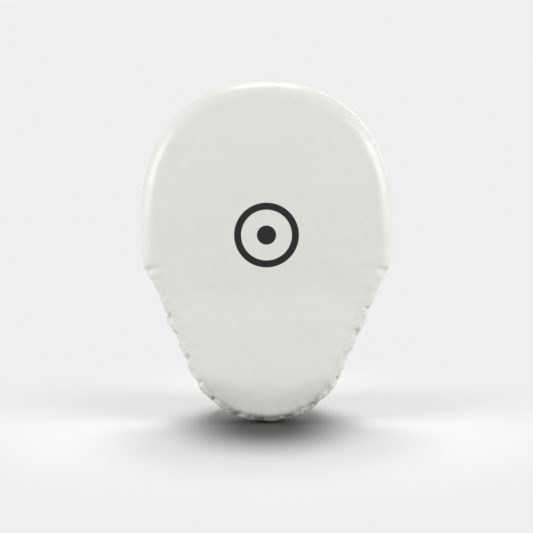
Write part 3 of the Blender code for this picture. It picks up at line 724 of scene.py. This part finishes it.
wrap_turn = np.linspace(0.0, np.pi, 120)[None]
hem = np.linspace(0.0, 1.0, 26)[:, None]
bend = np.pi * np.clip((hem - 0.3) / 0.4, 0, 1)
tape_mid, tape_half = 0.5 * (HOOD_INSIDE - 1.0 * MM), 0.5 * (HOOD_INSIDE + 2.2 * MM)
tape_depth = tape_mid - tape_half * np.cos(bend)
tape_rise = np.maximum(0.3 - hem, hem - 0.7) * TAPE_RUN
tape_length = HOOD_MOUTH - 0.3 * MM + np.where(tape_rise > 0, tape_rise, -TAPE_BEND * np.sin(bend))
pulls = np.stack([wrap_turn * 60 * MM + 0 * hem, hem * 10 * MM + 0 * wrap_turn], -1)
pulls = 0.16 * MM * ripple(pulls, 5 * MM, 54)
x, y = arch(wrap_turn, HOOD_X, HOOD_HALF - tape_depth + pulls, HOOD_HEIGHT - tape_depth + pulls)
grid = fold(x, y, tape_length + 0 * wrap_turn)
inside_tape = fold(*arch(0.5 * np.pi, HOOD_X, HOOD_HALF, 0.9 * HOOD_HEIGHT), HOOD_MOUTH + 4 * MM)
binding = piece("hood_mouth_binding", [grid], black_tape, ["hood_binding"], wall=MESH_THICK,
                centre=inside_tape)
sewn_row = 4
up = facing(grid)[sewn_row]
stitches("hood_binding_stitches", grid[sewn_row], up * np.sign(up[:, 1].sum()), black_thread, "binding",
         **FINE_STITCH)

for number, place in enumerate((-1, 0, 1), start=1):
    length = np.linspace(WEB_START, WEB_END, 40)[:, None]
    part = (length - HOOD_MOUTH) / (HOOD_TOP - HOOD_INSIDE - HOOD_MOUTH)
    half, tall = hood_size(part, HOOD_INSIDE)
    rise = tall * (1 - (abs(place) * WEB_PITCH / half) ** ARCH_POWER) ** (1 / ARCH_POWER)
    up = np.linspace(0.0, 1.0, 18)[None]
    lip = 1 - 0.22 * np.exp(-(length - WEB_START) / (5 * MM)) * np.sin(np.pi * up)
    bow = 0.7 * MM * ripple(np.stack([length + 0 * up, up * 30 * MM + 0 * length], -1), 26 * MM, 55 + number)
    x = HOOD_X + place * WEB_PITCH + bow
    grid = fold(x - 0.5 * WEB_THICK, STAND + (rise - 0.6 * MM) * up, length / lip)
    web = piece(f"finger_web_{number}", [grid], black_mesh, [f"finger_divider_{number}"],
                wall=WEB_THICK, centre=(HOOD_X + place * WEB_PITCH + 0.02, 0.01, 0.05))


def footing(points, name):
    """A stitched leather flange that lies on the back panel, outside a foot line of (x, s) points that
    runs up the right side, and follows the fold."""
    run = np.gradient(points, axis=0)
    normal = np.stack([run[:, 1], -run[:, 0]], -1)
    for _ in range(6):
        normal = (np.roll(normal, 1, 0) + normal + np.roll(normal, -1, 0)) / 3
    normal[[0, -1]] = normal[[1, -2]]
    normal /= np.linalg.norm(normal, axis=1, keepdims=True)
    profile = np.array([(-2.5, 0.1), (-2.5, 0.9), (-0.6, 1.35), (1.0, 1.25), (2.6, 0.95), (4.4, 1.05),
                        (5.1, 0.8), (5.3, 0.4), (5.0, 0.1)]) * MM
    flat = points + profile[:, :1, None] * normal
    grid = fold(flat[..., 0], profile[:, 1:] + 0 * flat[..., 0], flat[..., 1])
    ends = [np.broadcast_to(grid[:, k].mean(0), grid[:, :1].shape) for k in (0, -1)]
    grid = np.concatenate([ends[0], grid, ends[1]], 1)
    grid = np.concatenate([grid, grid[:1]])
    piece(name, [grid], hood_leather, centre=grid.reshape(-1, 3).mean(0), grime_and_shade=0.4)
    line = points + 2.7 * MM * normal
    up = np.broadcast_to([0.0, 1.0, 0.0], (len(points), 3))
    stitches(name + "_stitches", fold(line[:, 0], 1.0 * MM, line[:, 1]), up, white_thread, "white_leather")


t = np.sin(np.linspace(0, 0.5 * np.pi, 40))
right = np.stack([HOOD_X + hood_size(t, 0.0)[0], HOOD_MOUTH + (HOOD_TOP - HOOD_MOUTH) * t], -1)
top = np.stack([np.linspace(right[-1, 0], 2 * HOOD_X - right[-1, 0], 22)[1:-1], np.full(20, HOOD_TOP)], -1)
left = right[::-1] * [-1, 1] + [2 * HOOD_X, 0]
footing(np.concatenate([right, top, left]), "hood_foot_flange")


# Thumb stall. A half-round stall of two leather panels sewn along the crest, lined with mesh and sewn to
# the back panel beside the hood, leaning out from it.
THUMB_PLACE, THUMB_LEAN = (-48 * MM, -16 * MM), np.radians(32.0)
THUMB_LENGTH, THUMB_HALF, THUMB_HEIGHT = 56 * MM, 15 * MM, 24 * MM


def thumb_flat(x, length):
    """From the stall's own width and length to the flat pattern."""
    return (THUMB_PLACE[0] + x * np.cos(THUMB_LEAN) - length * np.sin(THUMB_LEAN),
            THUMB_PLACE[1] + x * np.sin(THUMB_LEAN) + length * np.cos(THUMB_LEAN))


def thumb_half(share, depth):
    """The stall's half width, depth below its outside."""
    return (THUMB_HALF - depth) * np.sqrt(1 - 0.96 * share**3.4)


def thumb_at(share, turn, depth):
    """Stall surface depth below its outside."""
    height = (THUMB_HEIGHT - depth) * (1 - 0.3 * share) * np.sqrt(1 - share**4)
    x, y = arch(turn, 0.0, thumb_half(share, depth), height)
    across, s = thumb_flat(x, (THUMB_LENGTH - depth) * share + 0 * turn)
    return fold(across, y, s)


share = np.sin(np.linspace(0.0, 0.5 * np.pi, 40))[:, None]
turn = np.linspace(0.0, np.pi, 64)[None]
crest = np.exp(-(((turn - 0.5 * np.pi) / 0.05) ** 2)) * (share < 0.93)
base = thumb_at(share, turn, 0.55 * MM * crest)
pins = (crest > 0.5) | (turn < 0.06) | (turn > np.pi - 0.06) | (share < 0.02) | (share > 0.99)
full = swell(base, pins, 12, pressure=HOOD_PRESSURE, excess=0.02, bending=1.0, cap=1.0 * MM)
creases = np.stack([share * THUMB_LENGTH + 0 * turn, 14 * MM * turn + 0 * share], -1)
creases = 0.22 * MM * ripple(creases, 8 * MM, 61)
full = full + facing(full) * (creases * (1 - share**2))[..., None]
full[-1] = base[-1]
# Painted shade with some grime: darker along the crest seam and at the stall's foot.
stall = piece("thumb_stall_cover", [full], hood_leather, ["thumb_stall"], wall=SKIN,
              grime_and_shade=crest * 0.8 + np.exp(-np.sin(turn) / 0.12) * 0.7, centre=(-0.06, 0, 0))
middle = full.shape[1] // 2
for side, column in (("right", middle - 3), ("left", middle + 3)):
    path, up = full[1:-8, column], facing(full)[1:-8, column]
    stitches(f"thumb_crest_stitches_{side}", path, up, white_thread, "white_leather", **FINE_STITCH)
grid = thumb_at(share[::2], turn[:, ::2], 2.0 * MM)
piece("thumb_mesh_lining", [grid], black_mesh, ["thumb_lining"], wall=MESH_THICK,
                 centre=(-0.06, 0, 0))
t = np.sin(np.linspace(0, 0.5 * np.pi, 24))
half = thumb_half(t, 0.0)
right = np.stack(thumb_flat(half, THUMB_LENGTH * t), -1)
top = np.stack(thumb_flat(np.linspace(half[-1], -half[-1], 10)[1:-1], THUMB_LENGTH + 0 * t[:8]), -1)
left = np.stack(thumb_flat(-half, THUMB_LENGTH * t), -1)[::-1]
footing(np.concatenate([right, top, left]), "thumb_foot_flange")


# Palm cushion and ball. A thin quilted mesh cushion for the heel of the hand, and the leather-covered foam
# ball that the fingers close on, made of four gores over a ring of piping.
PALM_X, PALM_HALF, PALM_ENDS = 9 * MM, 40 * MM, (-42.5 * MM, 1.5 * MM)
PALM_THICK, QUILT = 3.5 * MM, 13 * MM
CUSHION_BORDER = 3.6 * MM
BALL_X, BALL_S, BALL_RADIUS, BALL_HEIGHT = 8 * MM, -21 * MM, 20 * MM, 16 * MM
BALL_WALL, PIPING = 2.0 * MM, 1.0 * MM


def plate(half_x, half_s, corner, columns, rows):
    """Rectangle with round corners as a grid: across, along, and how far in from the rim each point is.
    Rows shorten towards the two ends so that they trace the corners."""
    across = -half_x * np.cos(np.linspace(0.0, np.pi, columns))[None]
    over = np.maximum(np.abs(across) - (half_x - corner), 0.0)
    reach = half_s - corner + np.sqrt(np.maximum(corner**2 - over**2, 0.0))
    lengthwise = -reach * np.cos(np.linspace(0.0, np.pi, rows))[:, None]
    qx, qs = np.abs(across) - half_x + corner + 0 * lengthwise, np.abs(lengthwise) - half_s + corner
    outside = np.hypot(np.maximum(qx, 0), np.maximum(qs, 0)) + np.minimum(np.maximum(qx, qs), 0)
    return across + 0 * lengthwise, lengthwise, corner - outside


def swept_edge(inward, radius):
    """Quarter-round rise from 0 at the rim to 1 at radius in from it."""
    return np.sqrt(np.clip(1 - (1 - np.clip(inward / radius, 0, 1)) ** 2, 0, 1))


def round_path(half_x, half_s, corner, count=160):
    """Closed rounded rectangle as (across, along) points, evenly run round."""
    arms = []
    for k, (cx, cs) in enumerate(((1, 1), (-1, 1), (-1, -1), (1, -1))):
        turn = np.radians(90 * k) + np.linspace(0, 0.5 * np.pi, 12)
        arms.append(np.stack([cx * (half_x - corner) + corner * np.cos(turn),
                              cs * (half_s - corner) + corner * np.sin(turn)], -1))
    loop = np.concatenate(arms + [arms[0][:1]])
    run = np.concatenate([[0.0], np.cumsum(np.hypot(*np.diff(loop, axis=0).T))])
    even = np.linspace(0, run[-1], count)
    return np.stack([np.interp(even, run, loop[:, k]) for k in (0, 1)], -1)


def mesh_cushion(name, node, centre_x, half_x, ends, thick, corner, seed):
    """A thin quilted cushion on the back panel: sewn diagonals QUILT apart, and a sewn border."""
    half_s, middle = 0.5 * (ends[1] - ends[0]), 0.5 * (ends[0] + ends[1])
    x, s, inward = plate(half_x, half_s, corner, 90, 60)
    lines = [np.abs((x + way * s) / np.sqrt(2) % QUILT - 0.5 * QUILT) for way in (1, -1)]
    sewn = np.exp(-((np.minimum(*lines) / (0.9 * MM)) ** 2)) * (inward > 4 * MM)
    border = np.exp(-(((inward - CUSHION_BORDER) / (0.7 * MM)) ** 2))
    puff = 1 - 0.42 * np.maximum(sewn, border) + 0.04 * ripple(np.stack([x, s], -1), 12 * MM, seed)
    rise = swept_edge(inward, 2.2 * MM) * thick * puff
    top = fold(centre_x + x, STAND + rise, middle + s)
    under = fold(centre_x + x, STAND + 0 * rise, middle + s)
    made = piece(name, [top, under[::-1]], black_mesh, [node], centre=fold(centre_x, 0.001, middle))
    loop = round_path(half_x - CUSHION_BORDER, half_s - CUSHION_BORDER, corner - CUSHION_BORDER)
    up = np.broadcast_to([0.0, 1.0, 0.0], (len(loop), 3))
    stitches(name + "_stitches", fold(centre_x + loop[:, 0], STAND + 0.60 * thick, middle + loop[:, 1]), up,
             black_thread, "lining")


mesh_cushion("palm_cushion", "palm_pad", PALM_X, PALM_HALF, PALM_ENDS, PALM_THICK, 10 * MM, 71)

ball_leather = leather("black_ball_leather", (0.022, 0.022, 0.024), (0.040, 0.038, 0.036), 0.42,
                       relief=0.12 * MM)
seat = PALM_THICK + 0.8 * MM
lean = (FOLD_TOP - BALL_S) / FOLD_RADIUS
ball_seat = fold(BALL_X, seat, BALL_S)


def on_ball(across, rise, up):
    """From the ball's own frame to the mitt: it leans with the fold under it."""
    return ball_seat + np.stack([across, rise * np.cos(lean) + up * np.sin(lean),
                                 up * np.cos(lean) - rise * np.sin(lean)], -1)


tilt = np.linspace(0.0, 0.5 * np.pi, 26)[:, None]
turn = np.linspace(0.0, 2 * np.pi, 96, endpoint=False)[None]
gore = np.abs((turn / (0.5 * np.pi) + 0.5) % 1.0 - 0.5) * 0.5 * np.pi * BALL_RADIUS * np.sin(tilt)
groove = 0.7 * MM * np.exp(-((gore / (0.6 * MM)) ** 2)) * ease(0, 0.12, tilt)
swollen = 0.35 * MM * np.sin(2 * tilt) * (1 - np.exp(-gore / (3 * MM)))
grain = 0.10 * MM * ripple(np.stack([np.cos(turn) * tilt, np.sin(turn) * tilt], -1) * 20 * MM, 7 * MM, 72)
size = -groove + swollen + grain * ease(0, 0.2, tilt)
across, up = np.sin(tilt) * np.cos(turn), np.sin(tilt) * np.sin(turn)
grid = on_ball((BALL_RADIUS + size) * across, (BALL_HEIGHT + size) * np.cos(tilt), (BALL_RADIUS + size) * up)
# Painted shade with some grime: darker in the grooves between the gores.
ball = piece("palm_ball_leather", [grid], ball_leather, ["palm_ball_cover"], wrap=True,
             wall=0.9 * MM, grime_and_shade=np.exp(-gore / MM), centre=ball_seat)
radius = BALL_RADIUS - BALL_WALL
dome = on_ball(radius * across, (BALL_HEIGHT - BALL_WALL) * np.cos(tilt), radius * up)
inward = radius * (1 - tilt / 1.58)
flat = on_ball(inward * np.cos(turn), 0 * turn * tilt, inward * np.sin(turn))
heart = piece("palm_ball_foam_core", [dome, flat], grey_foam, ["palm_ball_foam"], wrap=True,
              centre=ball_seat)
cord = np.linspace(0.0, 2 * np.pi, 12, endpoint=False)[:, None]
ring_out = BALL_RADIUS + 0.6 * MM + PIPING * np.cos(cord)
rise = 0.2 * MM + PIPING * np.sin(cord) + 0 * turn
grid = on_ball(ring_out * np.cos(turn), rise, ring_out * np.sin(turn))
piece("palm_ball_piping", [np.concatenate([grid, grid[:1]])], ball_leather, wrap=True,
      centre=ball_seat, grime_and_shade=0.3)


# Wrist cuff. Two padded wings stand round the wrist, white leather outside and mesh inside, sewn together
# at the rim with a line of stitches inside it; a mesh cushion lies between their feet.
CUFF_HALF, CUFF_HEIGHT, CUFF_DEPTH = 44 * MM, 56 * MM, 7.4 * MM
CUFF_ENDS = (-56 * MM, -10 * MM)
CUFF_REACH = np.radians(58.0)
WING_HALF = 27.5 * MM
WING_CORNER, WING_ROUND, WING_SINK = 9 * MM, 4.5 * MM, 0.7 * MM
BORDER, BORDER_WIDTH = 6.5 * MM, 1.1 * MM
FOAM_IN, FOAM_HALF = 3 * MM, 1.7 * MM


def cuff_at(turn, length, depth):
    """Cuff surface depth below its outside; length is measured in the heel's frame, 0 where the fold ends."""
    x, y = arch(turn, 0.0, CUFF_HALF - depth, CUFF_HEIGHT - depth)
    return fold(x, y, FOLD_LOW + length)


def wing_turn(across, sign):
    """How far round the cuff a point of a wing lies, across metres from the wing's middle."""
    bend = 0.5 * CUFF_REACH * (1 + across / WING_HALF)
    return bend if sign > 0 else np.pi - bend


middle, half_s = 0.5 * (CUFF_ENDS[0] + CUFF_ENDS[1]), 0.5 * (CUFF_ENDS[1] - CUFF_ENDS[0])
for side, sign in (("right", 1.0), ("left", -1.0)):
    x, s, inward = plate(WING_HALF, half_s, WING_CORNER, 84, 64)
    turn = wing_turn(x, sign)
    rise = swept_edge(inward, WING_ROUND)
    border = np.exp(-(((inward - BORDER) / BORDER_WIDTH) ** 2))
    sunk = WING_SINK + (0.5 * CUFF_DEPTH - WING_SINK) * (1 - rise) + 1.0 * MM * border
    base = cuff_at(turn, middle + s, sunk)
    back = cuff_at(turn, middle + s, 0.5 * CUFF_DEPTH * (1 + rise) - 0.5 * MM * border)
    if sign < 0:
        base, border, inward = base[:, ::-1], border[:, ::-1], inward[:, ::-1]
    pins = (border > 0.6) | (inward < 1e-5)
    full = swell(base, pins, 16, pressure=HOOD_PRESSURE, excess=0.02, bending=1.0, cap=1.1 * MM)
    soft = 0.14 * MM * ripple(full, 12 * MM, 81) * ease(0, 3 * MM, inward)
    full = full + facing(full) * (soft * (1 + 1.2 * border))[..., None]
    # Painted shade with some grime: darker along the sewn border.
    outer = piece(f"{side}_wing_cover", [full], hood_leather, [f"{side}_cuff_cover"],
                  wall=SKIN * 0.7, grime_and_shade=border * 0.7, centre=(0, 0, -0.06))
    inner = piece(f"{side}_wing_lining", [back], black_mesh, [f"{side}_cuff_lining"],
                  wall=-0.6 * MM, centre=(0, 0, -0.06))
    x, s, inward = plate(WING_HALF - FOAM_IN, half_s - FOAM_IN, WING_CORNER - FOAM_IN, 30, 24)
    turn = wing_turn(x, sign)
    rise = swept_edge(inward, FOAM_IN)
    layers = [cuff_at(turn, middle + s, 0.5 * CUFF_DEPTH + way * FOAM_HALF * rise) for way in (-1, 1)]
    foam_pad = piece(f"{side}_wing_foam", layers, black_foam, [f"{side}_cuff_foam"],
                     centre=cuff_at(wing_turn(0.0, sign), middle, 0.5 * CUFF_DEPTH))
    loop = round_path(WING_HALF - BORDER, half_s - BORDER, 3 * MM)
    turn = wing_turn(loop[:, 0], sign)
    path = cuff_at(turn, middle + loop[:, 1], 1.0 * MM)
    up = path - cuff_at(turn, middle + loop[:, 1], 2.0 * MM)
    stitches(f"{side}_wing_stitches", path, up / np.linalg.norm(up, axis=1, keepdims=True), white_thread,
             "white_leather")
mesh_cushion("wrist_cushion", "wrist_pad", 0.0, 32 * MM, (FOLD_LOW + CUFF_ENDS[0], FOLD_LOW + CUFF_ENDS[1]),
             3 * MM, 8 * MM, 82)


# Wrist strap. One white leather strap, box-stitched to the right wing, that runs round over the cuff; a hook
# patch under its end grips the loop patch on the left wing, and a black tab pulls it off.
STRAP_WIDTH, STRAP_THICK = 38 * MM, 2.2 * MM
STRAP_LOW, STRAP_HIGH = -52 * MM, -14 * MM
STRAP_TURNS = (20.0, 164.0)
HINGE_TURN, HINGE_OUT = 37.7, 5.5 * MM
BEND_LENGTH = 12 * MM
ROOT_DEGREES = (22.0, 33.5)
STITCH_IN, STITCH_UP = 3.2 * MM, 0.5 * STRAP_THICK + 0.12 * MM
END_ROUND = 9 * MM
PATCH_MARGIN, PATCH_RADIUS = 4 * MM, 50 * MM
UP_HEEL = np.array([0.0, np.sin(FOLD_ANGLE), np.cos(FOLD_ANGLE)])


def strap_at(turn, out, length):
    """A point out above the cuff's outside."""
    return cuff_at(turn, length + 0 * turn, -out)


def strap_lift(degrees):
    """How far the strap's middle stands above the cuff: close to it at the root, then out over the pads."""
    return (1.5 + 2.9 * ease(24.0, 37.0, degrees)) * MM


def away(turn, out):
    """Unit direction straight out from the cuff at turn."""
    step = 0.001
    ahead = strap_at(turn + step, out, 0.0) - strap_at(turn - step, out, 0.0)
    normal = np.cross(UP_HEEL, ahead)
    normal /= np.linalg.norm(normal, axis=-1, keepdims=True)
    outward = strap_at(turn, out + MM, 0.0) - strap_at(turn, out, 0.0)
    return normal * np.sign((normal * outward).sum(-1))[..., None]


def slab(width, thick, corner=0.25, steps=5):
    """Rounded-edge section of the strap, centred, as (side, up) points round it."""
    turn = np.linspace(0.0, 2 * np.pi, 4 * steps, endpoint=False) + np.pi / 4 / steps
    across = np.sign(np.cos(turn)) * np.abs(np.cos(turn)) ** corner
    rise = np.sign(np.sin(turn)) * np.abs(np.sin(turn)) ** (1 - corner)
    return np.stack([0.5 * width * across, 0.5 * thick * rise], -1)


def tube(path, side, up, profile):
    """A closed profile of (side, up) offsets carried along path; the ends are drawn in to a point."""
    profile = np.concatenate([profile, profile[:1]])
    grid = path + profile[:, :1, None] * side + profile[:, 1:, None] * up
    ends = [np.broadcast_to(grid[:-1, k].mean(0), grid[:, :1].shape) for k in (0, -1)]
    return np.concatenate([ends[0], grid, ends[1]], 1)


def hooks(name, color, size, rough, depth):
    """Hook or loop tape: close-set bumps over a woven ground."""
    mix = Finish(name, Sheen_Weight=0.5, Sheen_Roughness=0.6, Specular_IOR_Level=0.2)
    tufts = mix.cells(size)
    fuzz = mix.noise(0.8 * size, 4.0)
    tone = mix.mix(tufts * 0.6 + fuzz * 0.5, tuple(2.2 * c for c in color), color)
    return mix.done(tone, rough + 0.1 * fuzz, 1.0 - tufts + fuzz * 0.5, depth)


strap_leather = leather("white_strap_leather", WHITE, CREAM, 0.40, relief=0.09 * MM)
hook_tape = hooks("black_hook_tape", (0.012, 0.012, 0.013), 0.9 * MM, 0.5, 0.4 * MM)
loop_tape = hooks("black_loop_tape", (0.015, 0.015, 0.016), 0.6 * MM, 0.9, 0.5 * MM)

turns = np.radians(np.linspace(*STRAP_TURNS, 150))
middle = 0.5 * (STRAP_LOW + STRAP_HIGH)
lift = strap_lift(np.degrees(turns))
path, up = strap_at(turns, lift, middle), away(turns, lift)
run = np.concatenate([[0], np.cumsum(np.linalg.norm(np.diff(path, axis=0), axis=1))])
left_over = np.clip((run[-1] - run) / END_ROUND, 0, 1)
narrow = 1 - 0.30 * (1 - np.sqrt(left_over * (2 - left_over)))
grid = tube(path, UP_HEEL * narrow[:, None], up, slab(STRAP_WIDTH, STRAP_THICK))
strap = piece("wrist_strap_band", [grid], strap_leather, ["wrist_strap", "strap_anchor"],
              body=None, centre=strap_at(np.radians(92.0), -30 * MM, middle), grime_and_shade=0.15)
hinge = strap_at(np.radians(HINGE_TURN), HINGE_OUT, middle)
ahead = strap_at(np.radians(HINGE_TURN + 0.5), HINGE_OUT, middle) - hinge
ahead /= np.linalg.norm(ahead)
bend_span = {"start": tuple(hinge), "end": tuple(hinge + BEND_LENGTH * ahead)}
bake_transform(strap)
np.stack([path - 0.5 * STRAP_WIDTH * UP_HEEL, path + 0.5 * STRAP_WIDTH * UP_HEEL])


def root_stitches(name, degrees, length):
    """A row of thread through the strap's root and the wing under it."""
    turn, out = np.radians(degrees), strap_lift(degrees) + STITCH_UP
    stitches(name, strap_at(turn, out, length), away(turn, out), white_thread, "strap_leather")


for side, way in (("low", -1), ("high", 1)):
    inset = way * (0.5 * STRAP_WIDTH - STITCH_IN) * narrow[4:-4, None]
    row = path[4:-4] + UP_HEEL * inset + up[4:-4] * STITCH_UP
    made = stitches(f"strap_edge_stitches_{side}", row, up[4:-4], white_thread, "strap_leather", body=None)
    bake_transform(made)
for number, way in enumerate((1, -1), start=1):
    length = middle + way * (0.5 * STRAP_WIDTH - STITCH_IN) * np.linspace(-1, 1, 24)
    root_stitches(f"strap_root_cross_{number}", np.linspace(*ROOT_DEGREES, 24), length)
for number, degrees in enumerate(ROOT_DEGREES, start=1):
    length = np.linspace(STRAP_LOW + STITCH_IN, STRAP_HIGH - STITCH_IN, 20)
    root_stitches(f"strap_root_row_{number}", np.full(20, degrees), length)


def patch(name, node, finish, body, span, out, thick, ends, corner=4 * MM):
    """A thin patch that follows the cuff between two turns in degrees, its outside out above the cuff."""
    middle, half_s = 0.5 * (ends[0] + ends[1]), 0.5 * (ends[1] - ends[0])
    centre_turn, half_turn = np.radians(0.5 * (span[0] + span[1])), np.radians(0.5 * (span[1] - span[0]))
    x, s, inward = plate(half_turn * PATCH_RADIUS, half_s, corner, 70, 50)
    turn = centre_turn + x / PATCH_RADIUS
    heart, rise = 0.5 * thick - out, 0.5 * thick * swept_edge(inward, 0.8 * MM)
    layers = [cuff_at(turn, middle + s, heart - way * rise) for way in (-1, 1)]
    piece(name, layers, finish, [node], body=body, centre=cuff_at(centre_turn, middle, heart))


patch_ends = (STRAP_LOW + PATCH_MARGIN, STRAP_HIGH - PATCH_MARGIN)
patch("loop_tape_patch", "loop_patch", loop_tape, "pad", (126.0, 168.0), 1.7 * MM, 1.3 * MM,
      patch_ends)
patch("hook_tape_patch", "hook_patch", hook_tape, "strap", (130.0, 160.0), 3.2 * MM, 1.3 * MM,
      patch_ends)
patch("strap_pull_tab", "strap_tab", black_tape, "strap", (160.0, 171.0), 5.0 * MM, 1.5 * MM,
      (STRAP_LOW + 8 * MM, STRAP_HIGH - 8 * MM), 3 * MM)


# Studio. A pale floor with a painted shadow, a soft dark oval under the mitt, inside a pale surround; a broad
# light in front on each side, one high up and one behind. Neither floor nor surround lights the mitt: a
# second floor just below, which the camera doesn't see, bounces light up, and the world gives a weak even
# fill.
FLOOR = float(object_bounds()[0][2])
PALE = 0.860
FILL = 0.30
scene = bpy.context.scene
scene.view_settings.view_transform = "Standard"


def glowing(name):
    """Even pale glow, and the Finish that holds it."""
    mix = Finish(name, Specular_IOR_Level=0.0, Roughness=1.0)
    return mix, mix.node("Emission", None, {"Color": (PALE, PALE, PALE, 1.0)})


# Painted shadow: the floor's colour darkens towards black in a soft oval at SHADOW_PLACE.
PAINTED_SHADOW_DARKNESS, SHADOW_PLACE = 0.84, (0.0, -35 * MM)
SHADOW_WIDE, SHADOW_DEEP = 54 * MM, 65 * MM
SHADOW_FADE = (1.75, 0.25)
FLOOR_TONE = (0.80, 0.80, 0.80)
BOUNCE_TONE = (0.85, 0.85, 0.85, 1.0)
FAR_START, FAR_END = 0.13, 0.30
mix, glow = glowing("pale_floor")
painted_shadow_oval = mix.node("VectorMath", {"operation": "SUBTRACT"}, {0: mix.place, 1: (*SHADOW_PLACE, 0.0)})
painted_shadow_oval = mix.node("VectorMath", {"operation": "DIVIDE"}, {0: painted_shadow_oval, 1: (SHADOW_WIDE, SHADOW_DEEP, 1.0)})
painted_shadow_oval = mix.node("VectorMath", {"operation": "LENGTH"}, {0: painted_shadow_oval}, 1).step(*SHADOW_FADE)
mix.feed(mix.shader.inputs["Base Color"], mix.mix(painted_shadow_oval * PAINTED_SHADOW_DARKNESS, FLOOR_TONE, (0.0, 0.0, 0.0)))
far = mix.node("VectorMath", {"operation": "LENGTH"}, {0: mix.place}, 1).step(FAR_START, FAR_END)
joined = mix.node("MixShader", None, {0: far, 1: Shade(mix, mix.shader.outputs[0]), 2: glow})
mix.tree.links.new(joined.socket, mix.tree.nodes["Material Output"].inputs[0])
floor_finish = mix.material
mix = Finish("grey_bounce", Specular_IOR_Level=0.0, Roughness=1.0)
mix.feed(mix.shader.inputs["Base Color"], BOUNCE_TONE)
bounce_finish = mix.material
mix, glow = glowing("pale_surround")
mix.tree.links.new(glow.socket, mix.tree.nodes["Material Output"].inputs[0])

bpy.ops.mesh.primitive_plane_add(size=12.0, location=(0.0, -0.01, FLOOR))
ground = bpy.context.object
ground.name = "studio_floor"
ground.data.materials.append(floor_finish)
bpy.ops.mesh.primitive_uv_sphere_add(segments=48, ring_count=24, radius=9.0)
shell_round = bpy.context.object
shell_round.name = "studio_surround"
shell_round.data.materials.append(mix.material)
for ray in ("diffuse", "glossy", "transmission", "volume_scatter", "shadow"):
    setattr(shell_round, f"visible_{ray}", False)
bpy.ops.mesh.primitive_plane_add(size=12.0, location=(0.0, -0.01, FLOOR - 1 * MM))
under_floor = bpy.context.object
under_floor.name = "studio_bounce"
under_floor.data.materials.append(bounce_finish)
under_floor.visible_camera = False
ground.visible_diffuse = False

scene.world = bpy.data.worlds.new("fill")
scene.world.use_nodes = True
surround = scene.world.node_tree.nodes["Background"]
surround.inputs[0].default_value = (1.0, 1.0, 0.99, 1.0)
surround.inputs[1].default_value = FILL


def softbox(name, place, size, power):
    """An area light, width by height, turned to face the mitt."""
    light = bpy.data.lights.new(name, "AREA")
    light.shape, light.size, light.size_y, light.energy = "RECTANGLE", size[0], size[1], power
    made = bpy.data.objects.new(name, light)
    made.location = place
    made.rotation_euler = made.location.to_track_quat("Z", "Y").to_euler()
    bpy.context.collection.objects.link(made)


for side, across in (("left", -1.18), ("right", 1.18)):
    softbox(f"{side}_light", (across, -0.60, 0.42), (0.8, 0.5), 14.2)
softbox("top_light", (0.0, 0.50, 1.15), (0.4, 0.4), 5.6)
softbox("back_light", (0.25, 1.60, 0.40), (1.0, 0.6), 9.0)

LENS, DISTANCE, RISE = 85.2, 1.03, np.radians(5.5)
AIM = np.array([0.0, 0.0, 8 * MM])
camera = bpy.data.objects.new("camera", bpy.data.cameras.new("camera"))
camera.data.lens = LENS
camera.data.sensor_width = 36.0
camera.data.clip_start = 0.05
camera.location = AIM + DISTANCE * np.array([0, -np.cos(RISE), np.sin(RISE)])
camera.rotation_euler = (0.5 * np.pi - RISE, 0.0, 0.0)
bpy.context.collection.objects.link(camera)
scene.camera = camera
